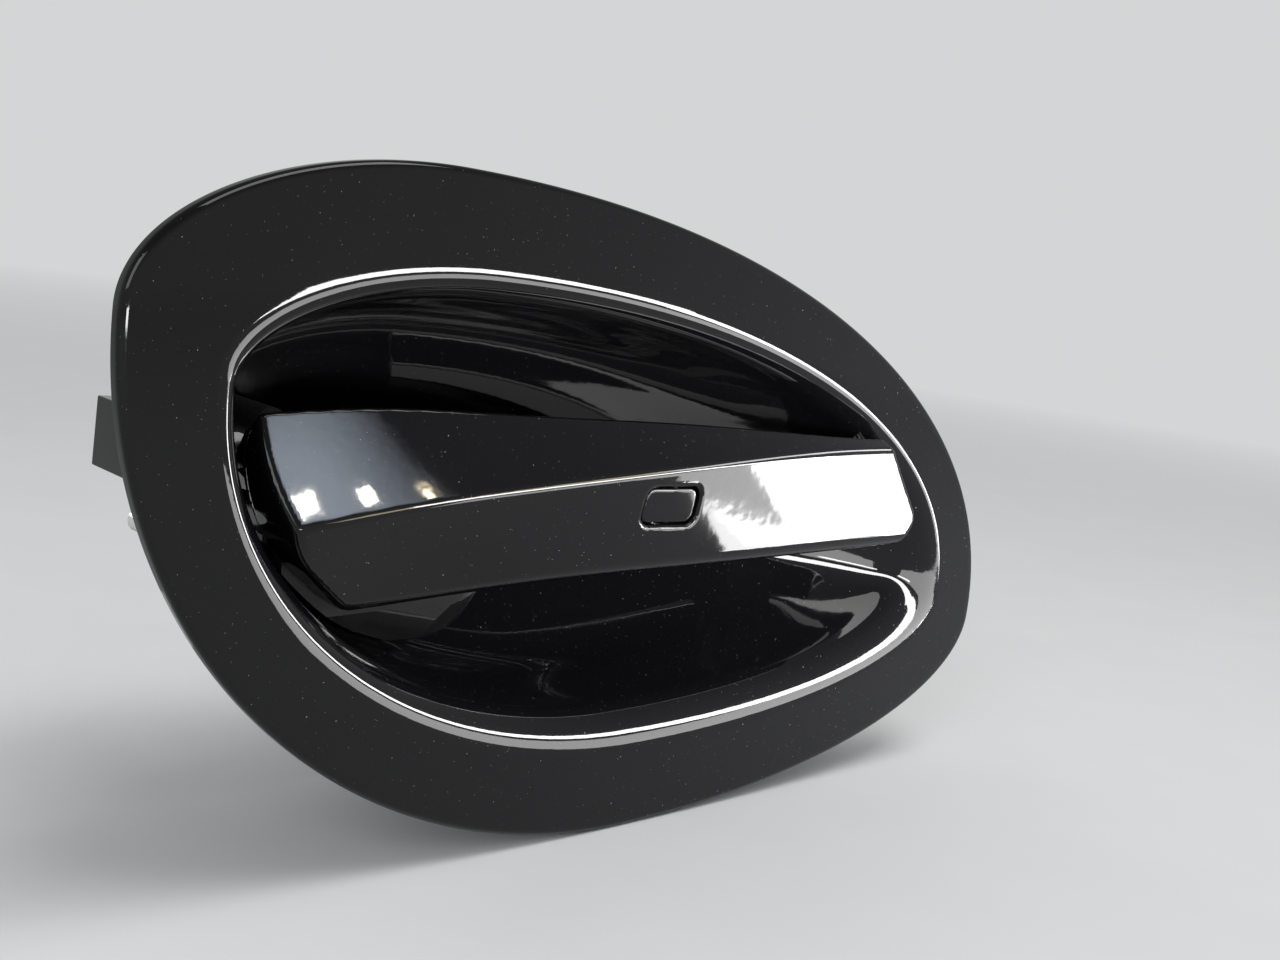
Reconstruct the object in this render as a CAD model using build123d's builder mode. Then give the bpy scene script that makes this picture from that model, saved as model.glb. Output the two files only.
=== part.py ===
"""Exterior pull handle of a car door: a strap grip in an egg-shaped recess, with its carrier and crank.

Millimetres. X points to the front of the car, Y into the door, Z up. The origin is the middle of the
stud pattern, in the plane where the flange seats on the door skin.
"""
import os
from math import cos, radians, sin

from build123d import *

# Recess outline on the visible face: four quarter ellipses that meet at its extremes.
RECESS_LENGTH = 201.0
RECESS_HEIGHT = 90.5
RECESS_DEPTH = 36.0        # from the rim to the floor
RIM_MIDDLE_X = -0.5
RIM_MIDDLE_Z = -0.25
REAR_SHARE = 0.78          # height of the rearmost point, as a share from bottom to top
FRONT_SHARE = 0.29         # height of the foremost point
CREST_SHARE = 0.25         # place of the highest point, as a share from rear to front
HEEL_SHARE = 0.50          # place of the lowest point
FLANGE_MARGIN = 19.0       # width of the flange outside the rim
FLANGE_THICKNESS = 3.0
FLANGE_EDGE_RADIUS = 1.4
BOWL_WALL = 2.5
QUARTER_TURN = 90

# Hollow of the recess: share of its depth, then how far each extreme has moved in from the rim.
BOWL_SECTIONS = (
    # share, rear, top, front, bottom
    (0.0, 0.0, 0.0, 0.0, 0.0),
    (0.06, 1.6, 1.6, 4.0, 3.5),
    (0.22, 3.0, 3.5, 11.0, 7.5),
    (0.47, 5.0, 6.0, 23.0, 11.0),
    (0.75, 10.5, 11.0, 42.0, 17.0),
    (1.0, 28.0, 24.0, 64.0, 31.0),
)

# Headed studs and gasket on the back of the flange.
STUD_RADIUS = 2.0
STUD_LENGTH = 16.0
STUD_HEAD_RADIUS = 3.2
STUD_HEAD_HEIGHT = 1.8     # the head is sunk flush in the flange
STUD_FIT = 0.02
STUD_CHAMFER = 0.5
STUD_OUTSIDE_X = 4.5       # studs from the level of the rim's extremes
STUD_OUTSIDE_Z = 9.75
GASKET_WIDTH = 2.2
GASKET_DEPTH = 1.2
GASKET_FIT = 0.1
GASKET_INSET = 13.4        # how far in from the flange edge the gasket runs

# Strap grip: its ends, then one row for each section across it.
GRIP_REAR_GAP = 9.5        # from the rim to the strap's rear end
GRIP_TIP_GAP = 21.5        # and from its tip to the rim
GRIP_SECTIONS = (
    # share of length, crease_y, crease_z, top_y, top_z, low_y, low_z, back_y
    (-0.038, -4.0, 0.0, 7.5, 19.0, 3.0, -17.5, 12.0),
    (0.115, -6.0, 5.0, 4.5, 21.7, 3.0, -16.5, 11.5),
    (0.303, -8.0, 9.5, 1.5, 21.8, -2.0, -12.5, 11.0),
    (0.568, -9.5, 14.3, -2.0, 21.5, -7.0, -9.2, 8.5),
    (0.803, -9.2, 17.4, -5.5, 20.4, -9.5, -7.3, 3.5),
    (1.032, -8.0, 17.8, -5.5, 19.4, -10.5, -6.0, -0.5),
)
CREASE_RADIUS = 0.8
TOP_RADIUS = 0.7
BACK_TOP_RADIUS = 3.0
BACK_LOW_RADIUS = 3.0
LOW_RADIUS = 4.5
BACK_DROP = 9.0            # how much lower the back's upper corner is than the top edge
BACK_RISE = 4.0            # how much higher the back's lower corner is than the front's
REAR_OUTLINE = (           # outline of the strap seen from outside, round its rear end
    # from the rear end, z, radius of the corner
    (1.5, 30.0, 1.0),
    (0.0, 9.0, 30.0),
    (6.5, -4.0, 20.0),
    (25.5, -19.5, 25.0),
    (51.5, -30.0, 1.0),
)
TIP_OUTLINE = (            # and round its tip
    # from the tip, z, radius of the corner
    (-24.0, -30.0, 1.0),
    (0.0, 1.5, 4.0),
    (-21.0, 30.0, 1.0),
)
PARTING_REAR = 9.5         # depth of the seam between cover and base, level with the rim's rear
PARTING_FRONT = -3.0       # and level with its front

# Root that flares from the back of the strap's rear third to the recess floor.
ROOT_START = 5.0
ROOT_END = 24.0
GRIP_GAP = 1.2             # left between the back of the grip and the recess
ROOT_SECTIONS = (
    # share of its depth, from the strap's rear end, to, bottom, top, corner radius
    (0.0, 10.5, 54.5, -14.0, 13.0, 9.0),
    (0.55, 8.0, 59.5, -25.0, 15.0, 13.0),
    (1.0, 7.0, 58.0, -27.0, 15.0, 13.0),
)

# Lock button in the outer facet.
BUTTON_FROM_TIP = 83.5
BUTTON_Z = 5.6
BUTTON_LENGTH = 15.0
BUTTON_HEIGHT = 8.0
BUTTON_RADIUS = 2.6
BUTTON_GAP = 0.4
PROUD = 30.0               # more than the strap stands out of the flange
BUTTON_SINK = 0.7          # how far its face lies below the facet
BUTTON_POCKET = 2.4        # depth of the pocket that it sits in

# Front pivot of the grip, an upright pin behind the recess.
PIVOT_FROM_TIP = 8.5
PIVOT_ABOVE_FLOOR = 1.0    # how far the axis lies outside the level of the recess floor
PIVOT_Z = 2.0
PIN_RADIUS = 2.5
PIN_FIT = 0.05
EYE_RADIUS = 6.0
EYE_HALF_HEIGHT = 6.0
EYE_SIDE_GAP = 0.5
LUG_THICKNESS = 4.0
FOOT_LENGTH = 8.0
FOOT_BEFORE_PIVOT = 2.0    # from the foot's front face to the axis
PIN_OVERHANG = 1.5
PIN_HEAD_RADIUS = 4.2
PIN_HEAD_HEIGHT = 1.6
GRIP_SWING = 9.0           # degrees of pull

# Rear shank of the grip: a fork that straddles the crank arm and pulls its roller.
SHANK_FROM_END = 5.5       # from the strap's rear end to the shank
SHANK_BOTTOM = -3.0
SHANK_TOP = 11.0
REAR_PRONG = 3.5
FRONT_PRONG = 3.0
ARM_REAR_GAP = 1.5         # between the arm and the rear prong
ARM_FRONT_GAP = 6.0        # between the arm and the front prong
SLOT_BEHIND_FLOOR = 0.5    # where the fork's slot starts, behind the recess
CROSSBAR = 4.5             # thickness of the bar behind the roller
CROSSBAR_TOP = 6.0
OPENING_GAP = 1.6          # clearance of the bowl's openings round foot and shank

# Bell crank behind the recess.
EAR_HEIGHT = 7.0           # from the carrier's back to the crank's axis
CRANK_Z = 26.0
ARM_LENGTH = 24.0
ARM_REST_ANGLE = 29.6      # degrees that the arm leans inward from straight down at rest
ARM_WIDTH = 6.0
ARM_TIP_RADIUS = 3.0
ARM_ROOT_RADIUS = 4.5
HUB_RADIUS = 6.0
HUB_SHOULDER = 2.0         # how far the hub stands out behind the arm
SLEEVE_RADIUS = 4.2
SLEEVE_LENGTH = 18.0
ROLLER_RADIUS = 4.5
ROLLER_WIDTH = 2.6
ROLLER_SIDE_GAP = 0.2
ROLLER_PIN_RADIUS = 1.5
ROLLER_GAP = 0.6
WEIGHT_LENGTH = 9.5
WEIGHT_SIDE_GAP = 1.0
HUB_END = 1.5              # how far the hub stands out before the weight
WEIGHT_REACH = 15.0
WEIGHT_HALF_WIDTH = 6.0
TONGUE_THICKNESS = 2.5
LEVER_LENGTH = 15.0
LEVER_ANGLE = 45.0         # degrees above the inward direction at rest
LEVER_EYE_RADIUS = 3.2
LEVER_HOLE_RADIUS = 1.5
LEVER_THICKNESS = 2.5
LEVER_SIDE_GAP = 0.5
SPRING_WIRE = 1.5
SPRING_GAP = 0.6
EAR_THICKNESS = 3.0
EAR_HALF_WIDTH = 7.0
EAR_GAP = 0.5

# Carrier plate that holds pin, crank and spring behind the recess.
CARRIER_GAP = 7.5          # between it and the back of the recess
CARRIER_THICKNESS = 3.0
CARRIER_INSET = 5.0
CARRIER_RIM = 2.2
CARRIER_RIM_HEIGHT = 5.0
RIB_THICKNESS = 2.0
RIB_FROM_WINDOW = 3.0
RIB_FROM_REAR_SCREWS = 14.5
RIB_FROM_FRONT_SCREWS = 13.5
WINDOW_HEIGHT = 14.0
WINDOW_TOP = 15.0
WINDOW_SPACING = 22.0
NOTCH_TOP = 24.5
NOTCH_BOTTOM = -7.0
BOSS_RADIUS = 5.0
REAR_BOSSES = ((57.0, 14.0), (61.0, -14.0))      # from the rim's rear end, z
FRONT_BOSSES = ((62.0, 8.0), (60.0, -20.0))      # from the rim's front end, z
OPENING_CORNER = 2.5
SCREW_RADIUS = 2.0
SCREW_FIT = 0.05
SCREW_HEAD_RADIUS = 4.0
SCREW_HEAD_HEIGHT = 2.6
SCREW_LENGTH = 9.0

# Rubber buffer that the strap's rear end rests on.
BUFFER_FROM_END = 5.5
BUFFER_Z = 17.0
BUFFER_RADIUS = 3.0
BUFFER_GAP = 0.3


def at_depth(depth):
    """Sketch plane facing outward at this depth, local axes X and Z."""
    return Plane.XZ.offset(-depth)


def egg(rear=0.0, top=0.0, front=0.0, bottom=0.0):
    """Edges of the egg outline with each extreme moved in from the rim."""
    x0 = rim_rear + rear
    x1 = rim_front - front
    z0 = rim_bottom + bottom
    z1 = rim_top - top
    crest = x0 + CREST_SHARE * (x1 - x0)
    heel = x0 + HEEL_SHARE * (x1 - x0)
    rear_z = z0 + REAR_SHARE * (z1 - z0)
    front_z = z0 + FRONT_SHARE * (z1 - z0)
    quarters = (
        # x and z of the centre, reach along x, reach along z
        (crest, front_z, x1 - crest, z1 - front_z),
        (crest, rear_z, crest - x0, z1 - rear_z),
        (heel, rear_z, heel - x0, rear_z - z0),
        (heel, front_z, x1 - heel, front_z - z0),
    )
    with BuildLine() as outline:
        for turn, (x, z, along, up) in enumerate(quarters):
            EllipticalCenterArc((x, z), along, up, turn * QUARTER_TURN, arc_size=QUARTER_TURN)
    return outline.edges()


def egg_all(inset):
    """Edges of the egg outline moved in evenly; a negative inset moves it out."""
    return egg(inset, inset, inset, inset)


def hollow(grow=0.0, deeper=0.0):
    """Solid that fills the recess, made larger and deeper for its outside."""
    with BuildPart() as block:
        for share, rear, top, front, bottom in BOWL_SECTIONS:
            with BuildSketch(at_depth(rim_face + share * RECESS_DEPTH + deeper)):
                make_face(egg(rear - grow, top - grow, front - grow, bottom - grow))
        loft()
    return block.part


def grip_section(crease_y, crease_z, top_y, top_z, low_y, low_z, back_y):
    """Edges of the strap's outline across its length."""
    with BuildLine() as outline:
        FilletPolyline(
            (crease_y, crease_z),
            (top_y, top_z),
            (back_y, top_z - BACK_DROP),
            (back_y, low_z + BACK_RISE),
            (low_y, low_z),
            radius=[CREASE_RADIUS, TOP_RADIUS, BACK_TOP_RADIUS, BACK_LOW_RADIUS, LOW_RADIUS],
            close=True,
        )
    return outline.edges()


def grip_outline():
    """Edges of the strap's outline seen from outside."""
    corners = [(grip_rear + x, z, radius) for x, z, radius in REAR_OUTLINE]
    corners += [(grip_tip + x, z, radius) for x, z, radius in TIP_OUTLINE]
    with BuildLine() as outline:
        FilletPolyline(
            *[(x, z) for x, z, _ in corners],
            radius=[radius for _, _, radius in corners],
            close=True,
        )
    return outline.edges()


def strap_block():
    """Whole strap before it is parted into cover and base."""
    with BuildPart() as block:
        for share, *points in GRIP_SECTIONS:
            with BuildSketch(Plane.YZ.offset(grip_rear + share * (grip_tip - grip_rear))):
                make_face(grip_section(*points))
        loft()
        with BuildSketch(at_depth(floor_y)):
            make_face(grip_outline())
        extrude(amount=floor_y + PROUD, mode=Mode.INTERSECT)
    return block.part


def grip_root():
    """Flared root behind the strap, not yet trimmed to the recess."""
    with BuildPart() as block:
        for share, start, end, bottom, top, corner in ROOT_SECTIONS:
            with BuildSketch(at_depth(ROOT_START + share * (ROOT_END - ROOT_START))):
                with Locations((grip_rear + (start + end) / 2, (bottom + top) / 2)):
                    RectangleRounded(end - start, top - bottom, corner)
        loft(ruled=True)
    return block.part


def button_prism(gap):
    """Bar through the outer facet with the lock button's outline, made smaller by the gap."""
    with BuildPart() as prism:
        with BuildSketch(at_depth(0)):
            with Locations((grip_tip - BUTTON_FROM_TIP, BUTTON_Z)):
                RectangleRounded(
                    BUTTON_LENGTH - 2 * gap, BUTTON_HEIGHT - 2 * gap, BUTTON_RADIUS - gap
                )
        extrude(amount=PROUD)
    return prism.part


rim_rear = RIM_MIDDLE_X - RECESS_LENGTH / 2
rim_front = RIM_MIDDLE_X + RECESS_LENGTH / 2
rim_top = RIM_MIDDLE_Z + RECESS_HEIGHT / 2
rim_bottom = RIM_MIDDLE_Z - RECESS_HEIGHT / 2
rim_face = -FLANGE_THICKNESS
floor_y = rim_face + RECESS_DEPTH
bowl_back = floor_y + BOWL_WALL
grip_rear = rim_rear + GRIP_REAR_GAP
grip_tip = rim_front - GRIP_TIP_GAP
seam = Plane(
    origin=(rim_rear, PARTING_REAR, 0),
    x_dir=(rim_front - rim_rear, PARTING_FRONT - PARTING_REAR, 0),
    z_dir=(PARTING_FRONT - PARTING_REAR, rim_rear - rim_front, 0),
)
stud_x = RECESS_LENGTH / 2 + STUD_OUTSIDE_X
stud_z = RECESS_HEIGHT / 2 + STUD_OUTSIDE_Z
stud_places = ((-stud_x, 0), (stud_x, 0), (0, stud_z), (0, -stud_z))

carrier_front = bowl_back + CARRIER_GAP
carrier_back = carrier_front + CARRIER_THICKNESS
boss_places = [(rim_rear + x, z) for x, z in REAR_BOSSES]
boss_places += [(rim_front - x, z) for x, z in FRONT_BOSSES]
rear_rib_x = rim_rear + max(x for x, _ in REAR_BOSSES) + RIB_FROM_REAR_SCREWS
front_rib_x = rim_front - max(x for x, _ in FRONT_BOSSES) - RIB_FROM_FRONT_SCREWS
rib_z = WINDOW_TOP - (WINDOW_HEIGHT + WINDOW_SPACING) / 2
window_length = front_rib_x - rear_rib_x - 2 * RIB_FROM_WINDOW
window_places = [
    ((rear_rib_x + front_rib_x) / 2, WINDOW_TOP - WINDOW_HEIGHT / 2 - i * WINDOW_SPACING)
    for i in range(2)
]

swing = radians(GRIP_SWING)
pivot_x = grip_tip - PIVOT_FROM_TIP
pivot_y = floor_y - PIVOT_ABOVE_FLOOR
foot_front = pivot_x - FOOT_BEFORE_PIVOT
foot_rear = foot_front - FOOT_LENGTH
foot_sweep = sin(swing) * (pivot_y - rim_face)
eye_bottom = PIVOT_Z - EYE_HALF_HEIGHT
eye_top = PIVOT_Z + EYE_HALF_HEIGHT
lug_bottom = eye_bottom - EYE_SIDE_GAP - LUG_THICKNESS
lug_top = eye_top + EYE_SIDE_GAP + LUG_THICKNESS

crank_y = carrier_back + EAR_HEIGHT
rest_angle = radians(ARM_REST_ANGLE)
roller_y = crank_y + ARM_LENGTH * sin(rest_angle)
roller_z = CRANK_Z - ARM_LENGTH * cos(rest_angle)
shank_rear = grip_rear + SHANK_FROM_END
slot_rear = shank_rear + REAR_PRONG
arm_rear = slot_rear + ARM_REAR_GAP
arm_front = arm_rear + ARM_WIDTH
slot_front = arm_front + ARM_FRONT_GAP
shank_front = slot_front + FRONT_PRONG
slot_start = bowl_back + SLOT_BEHIND_FLOOR
crossbar_front = roller_y + ROLLER_RADIUS + ROLLER_GAP
shank_end = crossbar_front + CROSSBAR
shank_middle_z = (SHANK_BOTTOM + SHANK_TOP) / 2
shank_reach = shank_rear - pivot_x
# Place on the shank's rear face that lies level with the bowl's back when the grip is pulled.
level_when_pulled = (bowl_back - pivot_y - shank_reach * sin(swing)) / cos(swing)
shank_hole_rear = pivot_x + shank_reach * cos(swing) - level_when_pulled * sin(swing) - OPENING_GAP
shank_hole_front = shank_front + OPENING_GAP

hub_rear = arm_rear - HUB_SHOULDER
lever_rear = arm_front + LEVER_SIDE_GAP
lever_front = lever_rear + LEVER_THICKNESS
weight_rear = lever_front + WEIGHT_SIDE_GAP
weight_front = weight_rear + WEIGHT_LENGTH
hub_front = weight_front + HUB_END
sleeve_front = hub_front + SLEEVE_LENGTH
ear_rear = hub_rear - EAR_GAP - EAR_THICKNESS
ear_front = sleeve_front + EAR_GAP
crank_end = Plane.YZ.offset(hub_rear)
lever_angle = radians(LEVER_ANGLE)
lever_y = crank_y + LEVER_LENGTH * cos(lever_angle)
lever_z = CRANK_Z + LEVER_LENGTH * sin(lever_angle)
tongue_rear = (weight_rear + weight_front - TONGUE_THICKNESS) / 2
roller_rear = (arm_rear + arm_front - ROLLER_WIDTH) / 2
spring_inner = SLEEVE_RADIUS + SPRING_GAP

os.makedirs("parts", exist_ok=True)

# Recess bowl: flange, dished wall, screw bosses and the openings for foot and shank.
with BuildPart() as recess_bowl:
    with BuildSketch(at_depth(0)):
        make_face(egg_all(-FLANGE_MARGIN))
    extrude(amount=FLANGE_THICKNESS)
    fillet(recess_bowl.faces().sort_by(Axis.Y)[0].edges(), FLANGE_EDGE_RADIUS)
    add(hollow(BOWL_WALL, BOWL_WALL))
    with BuildSketch(at_depth(carrier_front)):
        with Locations(*boss_places):
            Circle(BOSS_RADIUS)
    extrude(amount=carrier_front)
    add(hollow(), mode=Mode.SUBTRACT)
    with BuildSketch(at_depth(carrier_front)):
        with Locations(*boss_places):
            Circle(SCREW_RADIUS + SCREW_FIT)
    extrude(amount=SCREW_LENGTH - CARRIER_THICKNESS + 1, mode=Mode.SUBTRACT)
    with BuildSketch(at_depth(carrier_front)):
        with Locations(((foot_rear + foot_front + foot_sweep) / 2, PIVOT_Z)):
            RectangleRounded(
                foot_front - foot_rear + foot_sweep + 2 * OPENING_GAP,
                2 * (EYE_HALF_HEIGHT + OPENING_GAP),
                OPENING_CORNER,
            )
        with Locations(((shank_hole_rear + shank_hole_front) / 2, shank_middle_z)):
            RectangleRounded(
                shank_hole_front - shank_hole_rear,
                SHANK_TOP - SHANK_BOTTOM + 2 * OPENING_GAP,
                OPENING_CORNER,
            )
    extrude(amount=carrier_front, mode=Mode.SUBTRACT)
    with BuildSketch(at_depth(0)):
        with Locations(*stud_places):
            Circle(STUD_HEAD_RADIUS + STUD_FIT)
    extrude(amount=STUD_HEAD_HEIGHT, mode=Mode.SUBTRACT)
    with BuildSketch(at_depth(0)):
        make_face(egg_all(GASKET_INSET - FLANGE_MARGIN))
        make_face(egg_all(GASKET_INSET + GASKET_WIDTH - FLANGE_MARGIN), mode=Mode.SUBTRACT)
    extrude(amount=GASKET_DEPTH, mode=Mode.SUBTRACT)
recess_bowl.part.label = "recess_bowl"
export_step(recess_bowl.part, "parts/recess_bowl.step")

# Studs that hold the flange to the door skin.
with BuildPart() as door_studs:
    with BuildSketch(at_depth(STUD_LENGTH)):
        with Locations(*stud_places):
            Circle(STUD_RADIUS)
    extrude(amount=STUD_LENGTH)
    with BuildSketch(at_depth(0)):
        with Locations(*stud_places):
            Circle(STUD_HEAD_RADIUS)
    extrude(amount=STUD_HEAD_HEIGHT)
    chamfer(door_studs.faces().group_by(Axis.Y)[-1].edges(), STUD_CHAMFER)
door_studs.part.label = "door_studs"
export_step(door_studs.part, "parts/door_studs.step")

# Gasket in the groove on the back of the flange.
with BuildPart() as flange_gasket:
    with BuildSketch(at_depth(0)):
        make_face(egg_all(GASKET_INSET + GASKET_FIT - FLANGE_MARGIN))
        make_face(
            egg_all(GASKET_INSET + GASKET_WIDTH - GASKET_FIT - FLANGE_MARGIN), mode=Mode.SUBTRACT
        )
    extrude(amount=GASKET_DEPTH)
flange_gasket.part.label = "flange_gasket"
export_step(flange_gasket.part, "parts/flange_gasket.step")

# Strap, parted along a slanting seam into painted cover and moulded base.
strap = strap_block()
button_floor = strap.moved(Location((0, BUTTON_POCKET, 0)))

with BuildPart() as grip_cover:
    add(strap)
    split(bisect_by=seam, keep=Keep.TOP)
    add(button_prism(0) - button_floor, mode=Mode.SUBTRACT)
grip_cover.part.label = "grip_cover"
export_step(grip_cover.part, "parts/grip_cover.step")

with BuildPart() as grip_base:
    add(strap)
    add(grip_root())
    add(hollow(-GRIP_GAP, -GRIP_GAP), mode=Mode.INTERSECT)
    with BuildSketch(Plane.XY.offset(eye_bottom)):
        with BuildLine():
            Polyline(
                (foot_rear, 0),
                (foot_front, 0),
                (foot_front, pivot_y - EYE_RADIUS),
                (pivot_x, pivot_y),
                (foot_rear, pivot_y),
                close=True,
            )
        make_face()
        with Locations((pivot_x, pivot_y)):
            Circle(EYE_RADIUS)
    extrude(amount=2 * EYE_HALF_HEIGHT)
    with BuildSketch(Plane.XY.offset(SHANK_BOTTOM)):
        with Locations(((shank_rear + shank_front) / 2, shank_end / 2)):
            Rectangle(shank_front - shank_rear, shank_end)
    extrude(amount=SHANK_TOP - SHANK_BOTTOM)
    with BuildSketch(Plane.XY.offset(SHANK_BOTTOM)):
        with Locations(((slot_rear + slot_front) / 2, (slot_start + crossbar_front) / 2)):
            Rectangle(slot_front - slot_rear, crossbar_front - slot_start)
    extrude(amount=SHANK_TOP - SHANK_BOTTOM, mode=Mode.SUBTRACT)
    with BuildSketch(Plane.XY.offset(CROSSBAR_TOP)):
        with Locations(((slot_rear + slot_front) / 2, shank_end)):
            Rectangle(slot_front - slot_rear, 2 * CROSSBAR)
    extrude(amount=SHANK_TOP - CROSSBAR_TOP, mode=Mode.SUBTRACT)
    with BuildSketch(Plane.XY.offset(eye_bottom)):
        with Locations((pivot_x, pivot_y)):
            Circle(PIN_RADIUS + PIN_FIT)
    extrude(amount=2 * EYE_HALF_HEIGHT, mode=Mode.SUBTRACT)
    split(bisect_by=seam, keep=Keep.BOTTOM)
grip_base.part.label = "grip_base"
export_step(grip_base.part, "parts/grip_base.step")

with BuildPart() as lock_button:
    add(button_prism(BUTTON_GAP))
    add(strap.moved(Location((0, BUTTON_SINK, 0))), mode=Mode.INTERSECT)
    add(button_floor, mode=Mode.SUBTRACT)
lock_button.part.label = "lock_button"
export_step(lock_button.part, "parts/lock_button.step")

# Rubber buffer between the recess and the back of the strap's rear end.
with BuildPart() as rear_buffer:
    with BuildSketch(at_depth(carrier_front)):
        with Locations((grip_rear + BUFFER_FROM_END, BUFFER_Z)):
            Circle(BUFFER_RADIUS)
    extrude(amount=carrier_front - PARTING_REAR)
    add(hollow(-BUFFER_GAP, -BUFFER_GAP), mode=Mode.INTERSECT)
    add(strap.moved(Location((0, BUFFER_GAP, 0))), mode=Mode.SUBTRACT)
rear_buffer.part.label = "rear_buffer"
export_step(rear_buffer.part, "parts/rear_buffer.step")

# Carrier: plate with a stiffening rim, lugs for the pivot pin and ears for the crank pin.
with BuildPart() as carrier:
    with BuildSketch(at_depth(carrier_back)):
        make_face(egg_all(CARRIER_INSET))
        with Locations(*window_places):
            RectangleRounded(window_length, WINDOW_HEIGHT, OPENING_CORNER, mode=Mode.SUBTRACT)
    extrude(amount=CARRIER_THICKNESS)
    with BuildSketch(at_depth(carrier_back + CARRIER_RIM_HEIGHT)):
        make_face(egg_all(CARRIER_INSET))
        make_face(egg_all(CARRIER_INSET + CARRIER_RIM), mode=Mode.SUBTRACT)
        with Locations((ear_front + EAR_THICKNESS, RIM_MIDDLE_Z)):
            Rectangle(
                RECESS_LENGTH, RECESS_HEIGHT, align=(Align.MAX, Align.CENTER), mode=Mode.SUBTRACT
            )
    extrude(amount=CARRIER_RIM_HEIGHT)
    with BuildSketch(at_depth(carrier_back + CARRIER_RIM_HEIGHT)):
        with Locations((rear_rib_x, 0), (front_rib_x, 0)):
            Rectangle(RIB_THICKNESS, 2 * RECESS_HEIGHT)
        with Locations((rear_rib_x, rib_z)):
            Rectangle(RECESS_LENGTH, RIB_THICKNESS, align=(Align.MIN, Align.CENTER))
        make_face(egg_all(CARRIER_INSET), mode=Mode.INTERSECT)
    extrude(amount=CARRIER_RIM_HEIGHT)
    with BuildSketch(at_depth(carrier_back)):
        with Locations((weight_front, (NOTCH_TOP + NOTCH_BOTTOM) / 2)):
            Rectangle(
                weight_front - rim_rear, NOTCH_TOP - NOTCH_BOTTOM, align=(Align.MAX, Align.CENTER)
            )
    extrude(amount=CARRIER_THICKNESS, mode=Mode.SUBTRACT)
    with BuildSketch(Plane.XY.offset(lug_bottom)):
        with Locations((pivot_x, pivot_y)):
            Circle(EYE_RADIUS)
        with Locations((pivot_x, (pivot_y + carrier_front) / 2)):
            Rectangle(2 * EYE_RADIUS, carrier_front - pivot_y)
    extrude(amount=lug_top - lug_bottom)
    with BuildSketch(Plane.XY.offset(eye_bottom - EYE_SIDE_GAP)):
        with Locations((pivot_x, carrier_front)):
            Rectangle(
                4 * EYE_RADIUS, carrier_front - pivot_y + 2 * EYE_RADIUS, align=(Align.CENTER, Align.MAX)
            )
    extrude(amount=2 * (EYE_HALF_HEIGHT + EYE_SIDE_GAP), mode=Mode.SUBTRACT)
    with BuildSketch(Plane.XY.offset(lug_bottom)):
        with Locations((pivot_x, pivot_y)):
            Circle(PIN_RADIUS + STUD_FIT)
    extrude(amount=lug_top - lug_bottom, mode=Mode.SUBTRACT)
    for ear_x in (ear_rear, ear_front):
        with BuildSketch(Plane.YZ.offset(ear_x)):
            with Locations((crank_y, CRANK_Z)):
                Circle(EAR_HALF_WIDTH)
            with Locations(((carrier_back + crank_y) / 2, CRANK_Z)):
                Rectangle(crank_y - carrier_back, 2 * EAR_HALF_WIDTH)
            with Locations((crank_y, CRANK_Z)):
                Circle(PIN_RADIUS + STUD_FIT, mode=Mode.SUBTRACT)
        extrude(amount=EAR_THICKNESS)
    with BuildSketch(at_depth(carrier_back)):
        with Locations(*boss_places):
            Circle(SCREW_RADIUS + SCREW_FIT)
    extrude(amount=CARRIER_THICKNESS, mode=Mode.SUBTRACT)
carrier.part.label = "carrier"
export_step(carrier.part, "parts/carrier.step")

# Screws that hold the carrier to the bosses of the recess.
with BuildPart() as carrier_screws:
    with BuildSketch(at_depth(carrier_back)):
        with Locations(*boss_places):
            Circle(SCREW_RADIUS)
    extrude(amount=SCREW_LENGTH)
    with BuildSketch(at_depth(carrier_back + SCREW_HEAD_HEIGHT)):
        with Locations(*boss_places):
            Circle(SCREW_HEAD_RADIUS)
    extrude(amount=SCREW_HEAD_HEIGHT)
carrier_screws.part.label = "carrier_screws"
export_step(carrier_screws.part, "parts/carrier_screws.step")

# Upright pivot pin of the grip.
with BuildPart() as pivot_pin:
    with BuildSketch(Plane.XY.offset(lug_bottom - PIN_OVERHANG)):
        with Locations((pivot_x, pivot_y)):
            Circle(PIN_RADIUS)
    extrude(amount=lug_top - lug_bottom + PIN_OVERHANG)
    with BuildSketch(Plane.XY.offset(lug_top)):
        with Locations((pivot_x, pivot_y)):
            Circle(PIN_HEAD_RADIUS)
    extrude(amount=PIN_HEAD_HEIGHT)
pivot_pin.part.label = "pivot_pin"
export_step(pivot_pin.part, "parts/pivot_pin.step")

# Lengthwise pin of the crank.
with BuildPart() as crank_pin:
    with BuildSketch(Plane.YZ.offset(ear_rear - PIN_OVERHANG)):
        with Locations((crank_y, CRANK_Z)):
            Circle(PIN_RADIUS)
    extrude(amount=ear_front + EAR_THICKNESS + PIN_OVERHANG - ear_rear)
    with BuildSketch(Plane.YZ.offset(ear_front + EAR_THICKNESS)):
        with Locations((crank_y, CRANK_Z)):
            Circle(PIN_HEAD_RADIUS)
    extrude(amount=PIN_HEAD_HEIGHT)
crank_pin.part.label = "crank_pin"
export_step(crank_pin.part, "parts/crank_pin.step")

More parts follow.
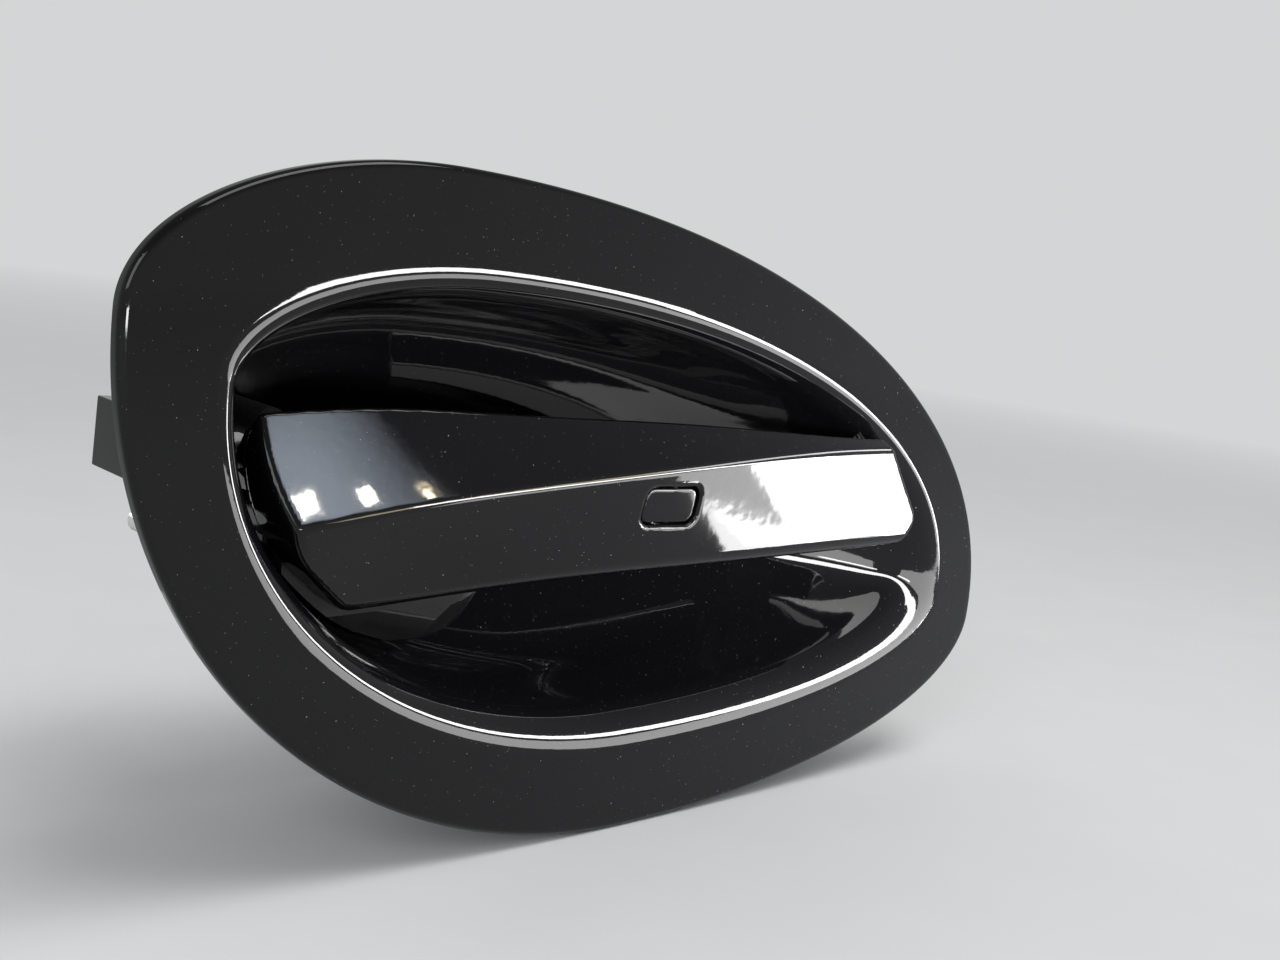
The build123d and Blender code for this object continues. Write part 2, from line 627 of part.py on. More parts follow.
# Bell crank: hub and sleeve, forked arm with a roller, output lever and tongue for the weight.
with BuildPart() as bell_crank:
    with BuildSketch(crank_end):
        with Locations((crank_y, CRANK_Z)):
            Circle(HUB_RADIUS)
    extrude(amount=hub_front - hub_rear)
    with BuildSketch(crank_end):
        with Locations((crank_y, CRANK_Z)):
            Circle(SLEEVE_RADIUS)
    extrude(amount=sleeve_front - hub_rear)
    with BuildSketch(Plane.YZ.offset(arm_rear)):
        with Locations((crank_y, CRANK_Z)):
            Circle(ARM_ROOT_RADIUS)
        with Locations((roller_y, roller_z)):
            Circle(ARM_TIP_RADIUS)
        make_hull()
    extrude(amount=arm_front - arm_rear)
    with BuildSketch(Plane.YZ.offset(lever_rear)):
        with Locations((crank_y, CRANK_Z)):
            Circle(ARM_ROOT_RADIUS)
        with Locations((lever_y, lever_z)):
            Circle(LEVER_EYE_RADIUS)
        make_hull()
        with Locations((lever_y, lever_z)):
            Circle(LEVER_HOLE_RADIUS, mode=Mode.SUBTRACT)
    extrude(amount=lever_front - lever_rear)
    with BuildSketch(Plane.YZ.offset(tongue_rear)):
        with Locations((crank_y, CRANK_Z + WEIGHT_REACH / 2)):
            Rectangle(WEIGHT_HALF_WIDTH, WEIGHT_REACH)
    extrude(amount=TONGUE_THICKNESS)
    with BuildSketch(crank_end):
        with Locations((crank_y, CRANK_Z)):
            Circle(PIN_RADIUS + PIN_FIT)
    extrude(amount=sleeve_front - hub_rear, mode=Mode.SUBTRACT)
    with BuildSketch(Plane.YZ.offset(roller_rear - ROLLER_SIDE_GAP)):
        with Locations((roller_y, roller_z)):
            Circle(ROLLER_RADIUS + 2 * ROLLER_SIDE_GAP)
    extrude(amount=ROLLER_WIDTH + 2 * ROLLER_SIDE_GAP, mode=Mode.SUBTRACT)
    with BuildSketch(Plane.YZ.offset(arm_rear)):
        with Locations((roller_y, roller_z)):
            Circle(ROLLER_PIN_RADIUS + STUD_FIT)
    extrude(amount=arm_front - arm_rear, mode=Mode.SUBTRACT)
bell_crank.part.label = "bell_crank"
export_step(bell_crank.part, "parts/bell_crank.step")

# Roller in the fork of the crank's arm, on its axle.
with BuildPart() as crank_roller:
    with BuildSketch(Plane.YZ.offset(roller_rear)):
        with Locations((roller_y, roller_z)):
            Circle(ROLLER_RADIUS)
    extrude(amount=ROLLER_WIDTH)
    with BuildSketch(Plane.YZ.offset(arm_rear)):
        with Locations((roller_y, roller_z)):
            Circle(ROLLER_PIN_RADIUS)
    extrude(amount=arm_front - arm_rear)
crank_roller.part.label = "crank_roller"
export_step(crank_roller.part, "parts/crank_roller.step")

# Weight that balances the grip against a side impact, slotted over the crank's tongue.
with BuildPart() as counterweight:
    with BuildSketch(Plane.YZ.offset(weight_rear)):
        with Locations((crank_y, CRANK_Z)):
            Rectangle(2 * WEIGHT_HALF_WIDTH, WEIGHT_REACH, align=(Align.CENTER, Align.MIN))
            Circle(HUB_RADIUS + STUD_FIT, mode=Mode.SUBTRACT)
    extrude(amount=weight_front - weight_rear)
    with BuildSketch(Plane.YZ.offset(tongue_rear - STUD_FIT)):
        with Locations((crank_y, CRANK_Z + WEIGHT_REACH / 2)):
            Rectangle(WEIGHT_HALF_WIDTH + 2 * STUD_FIT, WEIGHT_REACH)
    extrude(amount=TONGUE_THICKNESS + 2 * STUD_FIT, mode=Mode.SUBTRACT)
counterweight.part.label = "counterweight"
export_step(counterweight.part, "parts/counterweight.step")

# Torsion spring round the sleeve, its coils as one tube.
with BuildPart() as return_spring:
    with BuildSketch(Plane.YZ.offset(hub_front + SPRING_GAP)):
        with Locations((crank_y, CRANK_Z)):
            Circle(spring_inner + SPRING_WIRE)
            Circle(spring_inner, mode=Mode.SUBTRACT)
    extrude(amount=sleeve_front - hub_front - 2 * SPRING_GAP)
return_spring.part.label = "return_spring"
export_step(return_spring.part, "parts/return_spring.step")
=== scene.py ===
"""Looks of the door handle: painted skins, moulded and metal pieces, spring, studio and camera."""
from math import cos, pi, radians, sin, tan

import bmesh
import bpy
import numpy as np
from mathutils import Matrix, Quaternion, Vector


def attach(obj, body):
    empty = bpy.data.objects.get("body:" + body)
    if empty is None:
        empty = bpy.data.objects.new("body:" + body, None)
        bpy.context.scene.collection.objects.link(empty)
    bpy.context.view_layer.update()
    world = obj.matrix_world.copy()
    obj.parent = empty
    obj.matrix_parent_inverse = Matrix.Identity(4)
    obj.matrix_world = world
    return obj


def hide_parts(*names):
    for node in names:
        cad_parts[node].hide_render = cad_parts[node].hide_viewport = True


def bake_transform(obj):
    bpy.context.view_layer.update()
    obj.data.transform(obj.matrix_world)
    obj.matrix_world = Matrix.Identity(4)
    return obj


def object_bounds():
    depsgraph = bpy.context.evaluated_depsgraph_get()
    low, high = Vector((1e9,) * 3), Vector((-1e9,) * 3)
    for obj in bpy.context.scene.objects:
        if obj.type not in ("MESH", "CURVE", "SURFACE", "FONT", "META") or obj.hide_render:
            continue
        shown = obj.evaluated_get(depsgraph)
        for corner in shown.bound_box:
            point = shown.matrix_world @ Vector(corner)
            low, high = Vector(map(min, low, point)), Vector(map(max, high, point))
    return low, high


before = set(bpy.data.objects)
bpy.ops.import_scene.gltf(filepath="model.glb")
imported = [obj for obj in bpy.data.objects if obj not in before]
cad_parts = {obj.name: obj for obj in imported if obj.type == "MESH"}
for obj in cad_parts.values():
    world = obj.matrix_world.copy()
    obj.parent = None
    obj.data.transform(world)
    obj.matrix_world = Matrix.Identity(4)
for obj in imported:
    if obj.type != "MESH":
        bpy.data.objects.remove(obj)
cad_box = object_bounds()
MM = 0.001

# Angles between faces, in degrees, from which their edge is shaded sharp.
SHARP_FROM = 35
SHARP_FROM_BOWL = 40
SHARP_FROM_STRAP = 60
SHARP_FROM_WIRE = 70

# Recess, in millimetres in the part's frame: X to the car's front, Y into the door, Z up.
RIM_REAR = -101.0
RIM_FRONT = 100.0
RIM_TOP = 45.0
RIM_BOTTOM = -45.5
REAR_SHARE = 0.78
FRONT_SHARE = 0.29
CREST_SHARE = 0.25
HEEL_SHARE = 0.50
FLANGE_MARGIN = 19.0
FLANGE_THICKNESS = 3.0
FLANGE_EDGE_RADIUS = 1.4
FLANGE_BACK_BEVEL = 0.2
BOWL_WALL = 2.5
RIM_FACE = -FLANGE_THICKNESS
BOWL_SECTIONS = (
    # depth, rear, top, front, bottom
    (RIM_FACE, 0.0, 0.0, 0.0, 0.0),
    (-1.0, 1.6, 1.6, 4.0, 3.5),
    (5.0, 3.0, 3.5, 11.0, 7.5),
    (14.0, 5.0, 6.0, 23.0, 11.0),
    (24.0, 10.5, 11.0, 42.0, 17.0),
    (33.0, 28.0, 24.0, 64.0, 31.0),
)
RIM_ROLL = 3.0             # how far outside the rim its rounding starts
RIM_ROLL_END = -1.5        # depth at which the rounding has become the recess wall
FLOOR_ROUND_START = 29.5   # depth at which the wall starts to round into the floor
FLOOR_ROUND = 6.0          # how far in on the floor that rounding ends
BACK_START = -1.0          # depth of the recess wall whose back leaves the flange
GROOVE = (5.6, 3.4, 1.2)   # gasket groove: outer and inner edge outside the rim, and depth
GROOVE_BEVEL = 0.02

# Points round the recess, and rows of them on each stretch of its section.
AROUND = 480
FLOOR_ROUND_ROWS = 9
WALL_ROWS = 40
RIM_ROLL_ROWS = 14
FLANGE_ROWS = 10
FLANGE_EDGE_ROWS = 7
BACK_ROWS = 36

# Openings in the recess: x from and to, z from and to, corner radius.
OPENINGS = ((-90.1, -64.4, -4.6, 12.6, 2.5), (58.4, 75.1, -5.6, 9.6, 2.5))
OPENING_CUT = (-1.0, 50.0)  # depth from and to of their cutters
FAR_BEHIND = 100.0          # depth from which rays look for the recess's back

# Screw bosses, studs and screws.
BOSS_RADIUS = 5.0
BOSS_BACK = 43.0
BOSS_BEVEL = 0.4
BOSS_HOLE = 2.1
BOSS_HOLE_BEVEL = 0.3
BOSS_HOLE_DEPTH = 6.5
BOSS_FLARE = (
    # height over the recess's back, radius
    (-1.2, 6.6),
    (0.1, 6.2),
    (0.7, 5.5),
    (1.8, BOSS_RADIUS + 0.1),
)
BOSS_PLACES = ((-44.0, 14.0), (-40.0, -14.0), (38.0, 8.0), (40.0, -20.0))
STUD_PLACES = ((-105.0, 0.0), (105.0, 0.0), (0.0, 55.0), (0.0, -55.0))
STUD_RADIUS = 2.0
STUD_LENGTH = 16.0
STUD_HEAD_RADIUS = 3.2
STUD_HEAD_HEIGHT = 1.8
STUD_HEAD_BEVEL = 0.2
STUD_FILLET = 0.25
STUD_TIP_BEVEL = 0.7
STUD_PLAIN = 1.6           # length of its plain neck
STUD_SEAT = (0.12, 0.05)   # gap round its head and under it
STUD_SEAT_ABOVE = 1.0      # how far the cutter of its seat stands out
THREAD_PITCH = 0.7
THREAD_DEPTH = 0.32
THREAD_STEPS = 8           # rows of points a turn
SCREW_RADIUS = 2.0
SCREW_LENGTH = 9.0
SCREW_HEAD_RADIUS = 4.0
DRIVE_LOBES = 6
CARRIER_BACK = 46.0
FIT_GAP = 0.02             # how much thinner a shaft is than its CAD solid

# Pins, crank and spring behind the recess.
PIN_RADIUS = 2.5
PIN_HEAD_RADIUS = 4.2
PIN_HEAD_HEIGHT = 1.6
PIN_OVERHANG = 1.5
PIN_GROOVE_DEPTH = 0.4
CLIP_RADIUS = 4.4
CLIP_THICKNESS = 0.7
CLIP_PLAY = 0.1            # gap between a clip and the ear beside it
CLIP_BITE = 0.36           # how far its prongs reach into the pin
CLIP_WAVE = 0.95           # how far it stands back between them
CLIP_MOUTH = 90            # degrees of its open side
PIVOT = (70.0, 32.0)       # x, y of the upright pin
PIVOT_ENDS = (-10.0, 12.5)
CRANK = (53.0, 26.0)       # y, z of the lengthwise pin
CRANK_ENDS = (-88.0, -38.5)
SPRING_WIRE = 1.5
SPRING_RADIUS = 5.55       # of the wire's middle
SPRING_ENDS = (-58.6, -43.4)
SPRING_TURNS = 9.25
SPRING_STEPS = 28          # points a turn
SPRING_LOW_TURN = 0.25     # the coils start this part of a turn back, under the pin
SPRING_SUNK = 0.8          # how far its first leg is sunk into the carrier
SPRING_STRAIGHT = 1.0      # straight end of that leg before the coils
SPRING_GAP = 0.1           # between its second leg and the weight's side
SPRING_LEG_HEIGHT = 9.5    # height over the crank's pin at which the second leg hooks over
SPRING_LEG_BEND = 2.2
SPRING_LEG_END = 7.0
WIRE_END_SHARE = 0.8       # radius at the wire's ends
WEIGHT_HALF_WIDTH = 6.0

# Strap grip: one row for each section across it.
GRIP_SECTIONS = (
    # x, crease_y, crease_z, top_y, top_z, low_y, low_z, back_y
    (-98.0, -4.0, 0.0, 7.5, 19.0, 3.0, -17.5, 12.0),
    (-72.0, -6.0, 5.0, 4.5, 21.7, 3.0, -16.5, 11.5),
    (-40.0, -8.0, 9.5, 1.5, 21.8, -2.0, -12.5, 11.0),
    (5.0, -9.5, 14.3, -2.0, 21.5, -7.0, -9.2, 8.5),
    (45.0, -9.2, 17.4, -5.5, 20.4, -9.5, -7.3, 3.5),
    (84.0, -8.0, 17.8, -5.5, 19.4, -10.5, -6.0, -0.5),
)
CREASE_RADIUS = 0.8
TOP_RADIUS = 0.9
BACK_RADIUS = 3.0
LOW_RADIUS = 4.5
BACK_DROP = 9.0
BACK_RISE = 4.0
GRIP_END = (
    # x, z, radius of each corner of the strap's outline seen from outside
    (-90.0, 30.0, 1.0),
    (-91.5, 9.0, 30.0),
    (-85.0, -4.0, 20.0),
    (-66.0, -19.5, 25.0),
    (-40.0, -30.0, 1.0),
    (54.4, -30.0, 1.0),
    (78.5, 1.5, 4.0),
    (57.5, 30.0, 1.0),
)
END_ROUND = 1.4            # rounding of the strap's edges at its ends
SEAM_REAR = 9.5
SEAM_FRONT = -3.0
SEAM_ROUND = 0.25

# Lock button.
BUTTON_X = -5.0
BUTTON_Z = 5.6
BUTTON_LENGTH = 15.0
BUTTON_HEIGHT = 8.0
BUTTON_RADIUS = 2.6
BUTTON_GAP = 0.4
BUTTON_SINK = 0.7
BUTTON_POCKET = 2.4
POCKET_BEVEL = 0.8
BUTTON_ROUND = 0.5

# Grids that the strap's skins are sampled on: stretches of start, end and step, in millimetres
# along and into the strap, and in shares of its height below and above the crease.
COVER_ALONG = ((-92.5, -80, 0.5), (-80, -16, 1.0), (-16, 6, 0.33), (6, 62, 1.0), (62, 79.5, 0.4))
COVER_DEEP = ((-12.5, -6, 0.45), (-6, 10.5, 0.6))
COVER_BELOW = ((0, 0.12, 0.03), (0.12, 0.4, 0.02), (0.4, 0.9, 0.018), (0.9, 1.0, 0.011))
COVER_ABOVE = ((0, 0.2, 0.025), (0.2, 0.85, 0.06), (0.85, 1.0, 0.025))
COVER_ROOF = (0.4, 0.9, 1.6)   # heights of the grid's last rows, over the strap's top edge
COVER_LOWEST = -7.0            # the grid starts below this height and the strap's lower edge,
COVER_MARGIN = 3.0             # by this margin
BUTTON_ALONG = (-13.5, 3.5, 0.25)
BUTTON_DEEP = (-10.5, -4.0, 0.25)
BUTTON_HIGH = (0.5, 10.7, 0.25)

# Camera of the photograph, worked out from its outlines.
CAMERA_PLACE = (-219.1, -208.7, 54.7)
CAMERA_FORWARD = (0.705, 0.693, -0.151)
CAMERA_RIGHT = (0.709, -0.690, 0.143)
CAMERA_LENS = 42.19
CAMERA_SENSOR = 36


def spline(at, knots, rows):
    """Natural cubic spline through rows of values at the knots, read at other places."""
    knots = np.asarray(knots, float)
    rows = np.asarray(rows, float).reshape(len(knots), -1)
    step = np.diff(knots)
    count = len(knots)
    matrix = np.eye(count)
    right = np.zeros_like(rows)
    for i in range(1, count - 1):
        matrix[i, i - 1:i + 2] = step[i - 1], 2 * (step[i - 1] + step[i]), step[i]
        right[i] = 6 * ((rows[i + 1] - rows[i]) / step[i] - (rows[i] - rows[i - 1]) / step[i - 1])
    curve = np.linalg.solve(matrix, right)
    at = np.asarray(at, float)
    i = np.clip(np.searchsorted(knots, at) - 1, 0, count - 2)
    h = step[i][..., None]
    u = (knots[i + 1] - at)[..., None]
    v = (at - knots[i])[..., None]
    bend = curve[i] * u**3 / (6 * h) + curve[i + 1] * v**3 / (6 * h)
    return bend + (rows[i] / h - curve[i] * h / 6) * u + (rows[i + 1] / h - curve[i + 1] * h / 6) * v


def make_object(name, points, faces, sharp=SHARP_FROM, closed=False):
    """Mesh object from points in millimetres, smooth except at edges sharper than the angle."""
    mesh = bpy.data.meshes.new(name)
    mesh.from_pydata((np.asarray(points) * MM).tolist(), [], [list(map(int, f)) for f in faces])
    mesh.validate()
    mesh.update()
    if closed:
        face_outward(mesh)
    mesh.shade_smooth()
    mesh.set_sharp_from_angle(angle=radians(sharp))
    piece = bpy.data.objects.new(name, mesh)
    bpy.context.scene.collection.objects.link(piece)
    return piece


def face_outward(mesh):
    """Turns the faces of closed shells outward."""
    work = bmesh.new()
    work.from_mesh(mesh)
    bmesh.ops.recalc_face_normals(work, faces=work.faces)
    work.to_mesh(mesh)
    work.free()


def axes_across(along):
    """Two unit vectors square to a line and to each other."""
    along = Vector(along).normalized()
    first = along.orthogonal().normalized()
    return first, along.cross(first)


def turned(profile, middle, along, count=48):
    """Closed shell turned round a line: rows of place along it, radius and depth of its lobes."""
    first, second = axes_across(along)
    along = Vector(along)
    middle = Vector(middle)
    points = []
    for place, radius, *lobe in profile:
        depth = lobe[0] if lobe else 0.0
        for i in range(count):
            t = 2 * pi * i / count
            reach = radius + depth * cos(DRIVE_LOBES * t)
            points.append(middle + along * place + (first * cos(t) + second * sin(t)) * reach)
    return np.array(points), rings(len(profile), count)


def circle(x, z, depth, radius, count):
    """Points of an upright circle at one depth."""
    turns = [2 * pi * i / count for i in range(count)]
    return [(x + radius * cos(t), depth, z + radius * sin(t)) for t in turns]


def rings(rows, count):
    """Faces that join rows of points into a tube, with both ends closed."""
    faces = [list(range(count)), list(range((rows - 1) * count, rows * count))]
    for row in range(rows - 1):
        for i in range(count):
            a = row * count + i
            b = row * count + (i + 1) % count
            faces.append([a, b, b + count, a + count])
    return faces


def joined(shells):
    """Several shells as one list of points and one of faces."""
    points = []
    faces = []
    start = 0
    for some_points, some_faces in shells:
        points.append(some_points)
        faces += [[start + int(i) for i in face] for face in some_faces]
        start += len(some_points)
    return np.concatenate(points), faces


def dress(piece, material, slot_name, body, *replaced):
    """Gives a new piece its material and body, and hides the nodes it stands for; slot_name is not
    used.
    """
    piece.data.materials.clear()
    piece.data.materials.append(material)
    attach(piece, body)
    if replaced:
        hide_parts(*replaced)


def apply_modifiers(piece):
    """Replaces the piece's mesh by the result of its modifiers."""
    graph = bpy.context.evaluated_depsgraph_get()
    result = bpy.data.meshes.new_from_object(piece.evaluated_get(graph))
    piece.modifiers.clear()
    piece.data = result


# Recess bowl

def egg(insets, turns):
    """Points of the egg outline whose extremes lie inside the rim by these insets."""
    rear, top, front, bottom = insets
    x0 = RIM_REAR + rear
    x1 = RIM_FRONT - front
    z0 = RIM_BOTTOM + bottom
    z1 = RIM_TOP - top
    c = np.cos(turns)
    s = np.sin(turns)
    centre_x = x0 + np.where(s >= 0, CREST_SHARE, HEEL_SHARE) * (x1 - x0)
    centre_z = z0 + np.where(c >= 0, FRONT_SHARE, REAR_SHARE) * (z1 - z0)
    reach_x = np.where(c >= 0, x1 - centre_x, centre_x - x0)
    reach_z = np.where(s >= 0, z1 - centre_z, centre_z - z0)
    return centre_x + reach_x * c, centre_z + reach_z * s


def hollow_row(depth):
    """Depth and insets of the recess wall at this depth."""
    insets = spline(depth, [r[0] for r in BOWL_SECTIONS], [r[1:] for r in BOWL_SECTIONS])
    return np.array([depth, *insets.ravel()])


def bend_rows(start, corner, end, count):
    """Rows that round the corner between two rows."""
    rows = []
    for t in np.linspace(0, 1, count):
        rows.append((1 - t) ** 2 * start + 2 * t * (1 - t) * corner + t * t * end)
    return rows


def flat_row(depth, outside):
    """Row at one depth, evenly outside the rim."""
    return np.array([depth, -outside, -outside, -outside, -outside])


def bowl_rows():
    """Rows from the recess's floor out over the rim and round to the floor's back."""
    floor_row = np.array(BOWL_SECTIONS[-1])
    floor_inner = floor_row + np.array([0.0, 1.0, 1.0, 1.0, 1.0]) * FLOOR_ROUND
    rows = bend_rows(floor_inner, floor_row, hollow_row(FLOOR_ROUND_START), FLOOR_ROUND_ROWS)
    for depth in np.linspace(FLOOR_ROUND_START, RIM_ROLL_END, WALL_ROWS)[1:]:
        rows.append(hollow_row(depth))
    rim = flat_row(RIM_FACE, 0)
    rows += bend_rows(rows[-1], rim, flat_row(RIM_FACE, RIM_ROLL), RIM_ROLL_ROWS)[1:]
    edge = FLANGE_MARGIN - FLANGE_EDGE_RADIUS
    for outside in np.linspace(RIM_ROLL, edge, FLANGE_ROWS)[1:]:
        rows.append(flat_row(RIM_FACE, outside))
    for t in np.linspace(0, pi / 2, FLANGE_EDGE_ROWS)[1:]:
        drop = FLANGE_EDGE_RADIUS * (1 - cos(t))
        rows.append(flat_row(RIM_FACE + drop, edge + FLANGE_EDGE_RADIUS * sin(t)))
    outer, inner, deep = GROOVE
    for depth, outside in (
        (-FLANGE_BACK_BEVEL, FLANGE_MARGIN),
        (0.0, FLANGE_MARGIN - FLANGE_BACK_BEVEL),
        (0.0, outer + GROOVE_BEVEL),
        (-GROOVE_BEVEL, outer),
        (-deep + GROOVE_BEVEL, outer),
        (-deep, outer - GROOVE_BEVEL),
        (-deep, inner + GROOVE_BEVEL),
        (-deep + GROOVE_BEVEL, inner),
        (-GROOVE_BEVEL, inner),
        (0.0, inner - GROOVE_BEVEL),
    ):
        rows.append(flat_row(depth, outside))
    grow = np.array([BOWL_WALL, -BOWL_WALL, -BOWL_WALL, -BOWL_WALL, -BOWL_WALL])
    for depth in np.linspace(BACK_START, BOWL_SECTIONS[-1][0], BACK_ROWS):
        rows.append(hollow_row(depth) + grow)
    return rows


def bowl_mesh():
    """Closed shell of rings round the recess."""
    turns = np.linspace(0, 2 * pi, AROUND, endpoint=False)
    points = []
    rows = bowl_rows()
    for row in rows:
        x, z = egg(row[1:], turns)
        points.append(np.stack([x, np.full_like(x, row[0]), z], axis=1))
    return np.concatenate(points), rings(len(rows), AROUND)


def rounded_box(name, x0, x1, z0, z1, radius, y0, y1, turn_step=15):
    """Prism along Y with rounded corners."""
    corners = (
        (x1 - radius, z1 - radius, 0),
        (x0 + radius, z1 - radius, 90),
        (x0 + radius, z0 + radius, 180),
        (x1 - radius, z0 + radius, 270),
    )
    points = []
    for cx, cz, first in corners:
        for turn in range(first, first + 91, turn_step):
            points.append((cx + radius * cos(radians(turn)), cz + radius * sin(radians(turn))))
    count = len(points)
    solid = [(x, y0, z) for x, z in points] + [(x, y1, z) for x, z in points]
    faces = [list(range(count)), list(range(count, 2 * count))[::-1]]
    for i in range(count):
        j = (i + 1) % count
        faces.append((i, i + count, j + count, j))
    return make_object(name, solid, faces)


def cut(piece, cutter, operation="DIFFERENCE"):
    """Boolean with a second object, which is then removed."""
    step = piece.modifiers.new("cut", "BOOLEAN")
    step.operation = operation
    step.object = cutter
    step.solver = "EXACT"
    apply_modifiers(piece)
    bpy.data.objects.remove(cutter)


def boss_shell(bowl, x, z, count=48):
    """Screw boss that grows out of the recess's back with a small flare."""
    points = []
    for lift, radius in BOSS_FLARE:
        for point in circle(x, z, FAR_BEHIND, radius, count):
            here = Vector(point) * MM
            _, place, _, _ = bowl.ray_cast(here, (0, -1, 0))
            points.append((here.x / MM, place.y / MM + lift, here.z / MM))
    ends = (
        (BOSS_BACK - BOSS_BEVEL, BOSS_RADIUS),
        (BOSS_BACK, BOSS_RADIUS - BOSS_BEVEL),
        (BOSS_BACK, BOSS_HOLE + BOSS_HOLE_BEVEL),
        (BOSS_BACK - BOSS_HOLE_BEVEL, BOSS_HOLE),
        (BOSS_BACK - BOSS_HOLE_DEPTH, BOSS_HOLE),
    )
    for depth, radius in ends:
        points += circle(x, z, depth, radius, count)
    return np.array(points), rings(len(BOSS_FLARE) + len(ends), count)


def make_bowl(material):
    """Painted recess with its flange, openings and screw bosses."""
    points, faces = bowl_mesh()
    bowl = make_object("recess_skin", points, faces, closed=True)
    bpy.context.view_layer.update()
    bosses = joined([boss_shell(bowl, x, z) for x, z in BOSS_PLACES])
    cut(bowl, make_object("bosses", *bosses, closed=True), "UNION")
    gap_round, gap_under = STUD_SEAT
    seat_radius = STUD_HEAD_RADIUS + gap_round
    seat = ((-STUD_HEAD_HEIGHT - gap_under, seat_radius), (STUD_SEAT_ABOVE, seat_radius))
    seats = joined([turned(seat, (x, 0, z), (0, 1, 0)) for x, z in STUD_PLACES])
    cut(bowl, make_object("stud_seats", *seats, closed=True))
    for i, (x0, x1, z0, z1, radius) in enumerate(OPENINGS):
        cut(bowl, rounded_box(f"opening_{i}", x0, x1, z0, z1, radius, *OPENING_CUT))
    bowl.data.shade_smooth()
    bowl.data.set_sharp_from_angle(angle=radians(SHARP_FROM_BOWL))
    dress(bowl, material, "body_paint", "housing", "recess_bowl")
    return bowl


# Strap grip's painted skins

def rounded_outline(corners, steps=10):
    """Points of a convex outline whose corners are arcs."""
    points = []
    count = len(corners)
    for i in range(count):
        here = np.array(corners[i][:2])
        radius = corners[i][2]
        back = np.array(corners[i - 1][:2]) - here
        ahead = np.array(corners[(i + 1) % count][:2]) - here
        back /= np.linalg.norm(back)
        ahead /= np.linalg.norm(ahead)
        half = np.arccos(np.clip(back @ ahead, -1, 1)) / 2
        middle = (back + ahead) / np.linalg.norm(back + ahead)
        centre = here + middle * radius / sin(half)
        first = here + back * radius / tan(half) - centre
        last = here + ahead * radius / tan(half) - centre
        for t in np.linspace(0, 1, steps):
            side = first * (1 - t) + last * t
            points.append(centre + side / np.linalg.norm(side) * radius)
    return np.array(points)


def outline_planes(shortest=1e-6):
    """Normals and offsets of the strap outline's short straight stretches."""
    points = rounded_outline(GRIP_END)
    ahead = np.roll(points, -1, axis=0) - points
    length = np.linalg.norm(ahead, axis=1)
    keep = length > shortest
    normals = np.stack([ahead[:, 1], -ahead[:, 0]], axis=1)[keep] / length[keep, None]
    middle = points.mean(axis=0)
    facing = np.sum((points[keep] - middle) * normals, axis=1)
    normals *= np.sign(facing)[:, None]
    return normals, np.sum(points[keep] * normals, axis=1)


OUTLINE_NORMALS, OUTLINE_OFFSETS = outline_planes()


def round_max(a, b, radius):
    """Intersection of two fields with a rounded edge."""
    both = np.hypot(np.maximum(a + radius, 0), np.maximum(b + radius, 0))
    return np.minimum(np.maximum(a, b), -radius) + both


def grip_lines(x):
    """The strap's lines at each x: crease_y, crease_z, top_y, top_z, low_y, low_z, back_y."""
    rows = spline(x, [r[0] for r in GRIP_SECTIONS], [r[1:] for r in GRIP_SECTIONS])
    return [rows[..., i] for i in range(rows.shape[-1])]


def outline_field(x, z):
    """Distance outside the strap's outline seen from outside."""
    flat = np.stack([x.ravel(), z.ravel()], axis=1)
    return np.max(flat @ OUTLINE_NORMALS.T - OUTLINE_OFFSETS, axis=1).reshape(x.shape)


def strap_field(p):
    """Distance outside the strap, negative inside it."""
    x, y, z = p[..., 0], p[..., 1], p[..., 2]
    crease_y, crease_z, top_y, top_z, low_y, low_z, back_y = grip_lines(x)
    corners = [
        (crease_y, crease_z),
        (top_y, top_z),
        (back_y, top_z - BACK_DROP),
        (back_y, low_z + BACK_RISE),
        (low_y, low_z),
    ]
    sides = []
    for i, (ay, az) in enumerate(corners):
        by, bz = corners[(i + 1) % len(corners)]
        length = np.hypot(by - ay, bz - az)
        sides.append((-(y - ay) * (bz - az) + (z - az) * (by - ay)) / length)
    upper, over, behind, under, outer = sides
    front = round_max(upper, outer, CREASE_RADIUS)
    front = round_max(front, over, TOP_RADIUS)
    back = round_max(round_max(behind, under, BACK_RADIUS), over, BACK_RADIUS)
    section = round_max(front, round_max(behind, under, BACK_RADIUS), LOW_RADIUS)
    section = np.maximum(section, back)
    return round_max(section, outline_field(x, z), END_ROUND)


def seam_depth(x):
    """Depth of the seam between the painted cover and the moulded base."""
    return SEAM_REAR + (SEAM_FRONT - SEAM_REAR) * (x - RIM_REAR) / (RIM_FRONT - RIM_REAR)


def button_field(p, gap):
    """Distance outside the lock button's outline, made smaller by the gap."""
    x = np.abs(p[..., 0] - BUTTON_X) - BUTTON_LENGTH / 2 + BUTTON_RADIUS
    z = np.abs(p[..., 2] - BUTTON_Z) - BUTTON_HEIGHT / 2 + BUTTON_RADIUS
    outside = np.hypot(np.maximum(x, 0), np.maximum(z, 0)) + np.minimum(np.maximum(x, z), 0)
    return outside - BUTTON_RADIUS + gap


def cover_field(p):
    """Distance outside the painted cover, with its pocket cut out."""
    strap = strap_field(p)
    pocket = np.maximum(button_field(p, 0), -strap - BUTTON_POCKET)
    body = round_max(strap, -pocket, POCKET_BEVEL)
    return round_max(body, p[..., 1] - seam_depth(p[..., 0]), SEAM_ROUND)


def knob_field(p):
    """Distance outside the lock button, whose face follows the strap's a little deeper."""
    strap = strap_field(p)
    face = round_max(strap + BUTTON_SINK, button_field(p, BUTTON_GAP), BUTTON_ROUND)
    return np.maximum(face, -strap - BUTTON_POCKET)


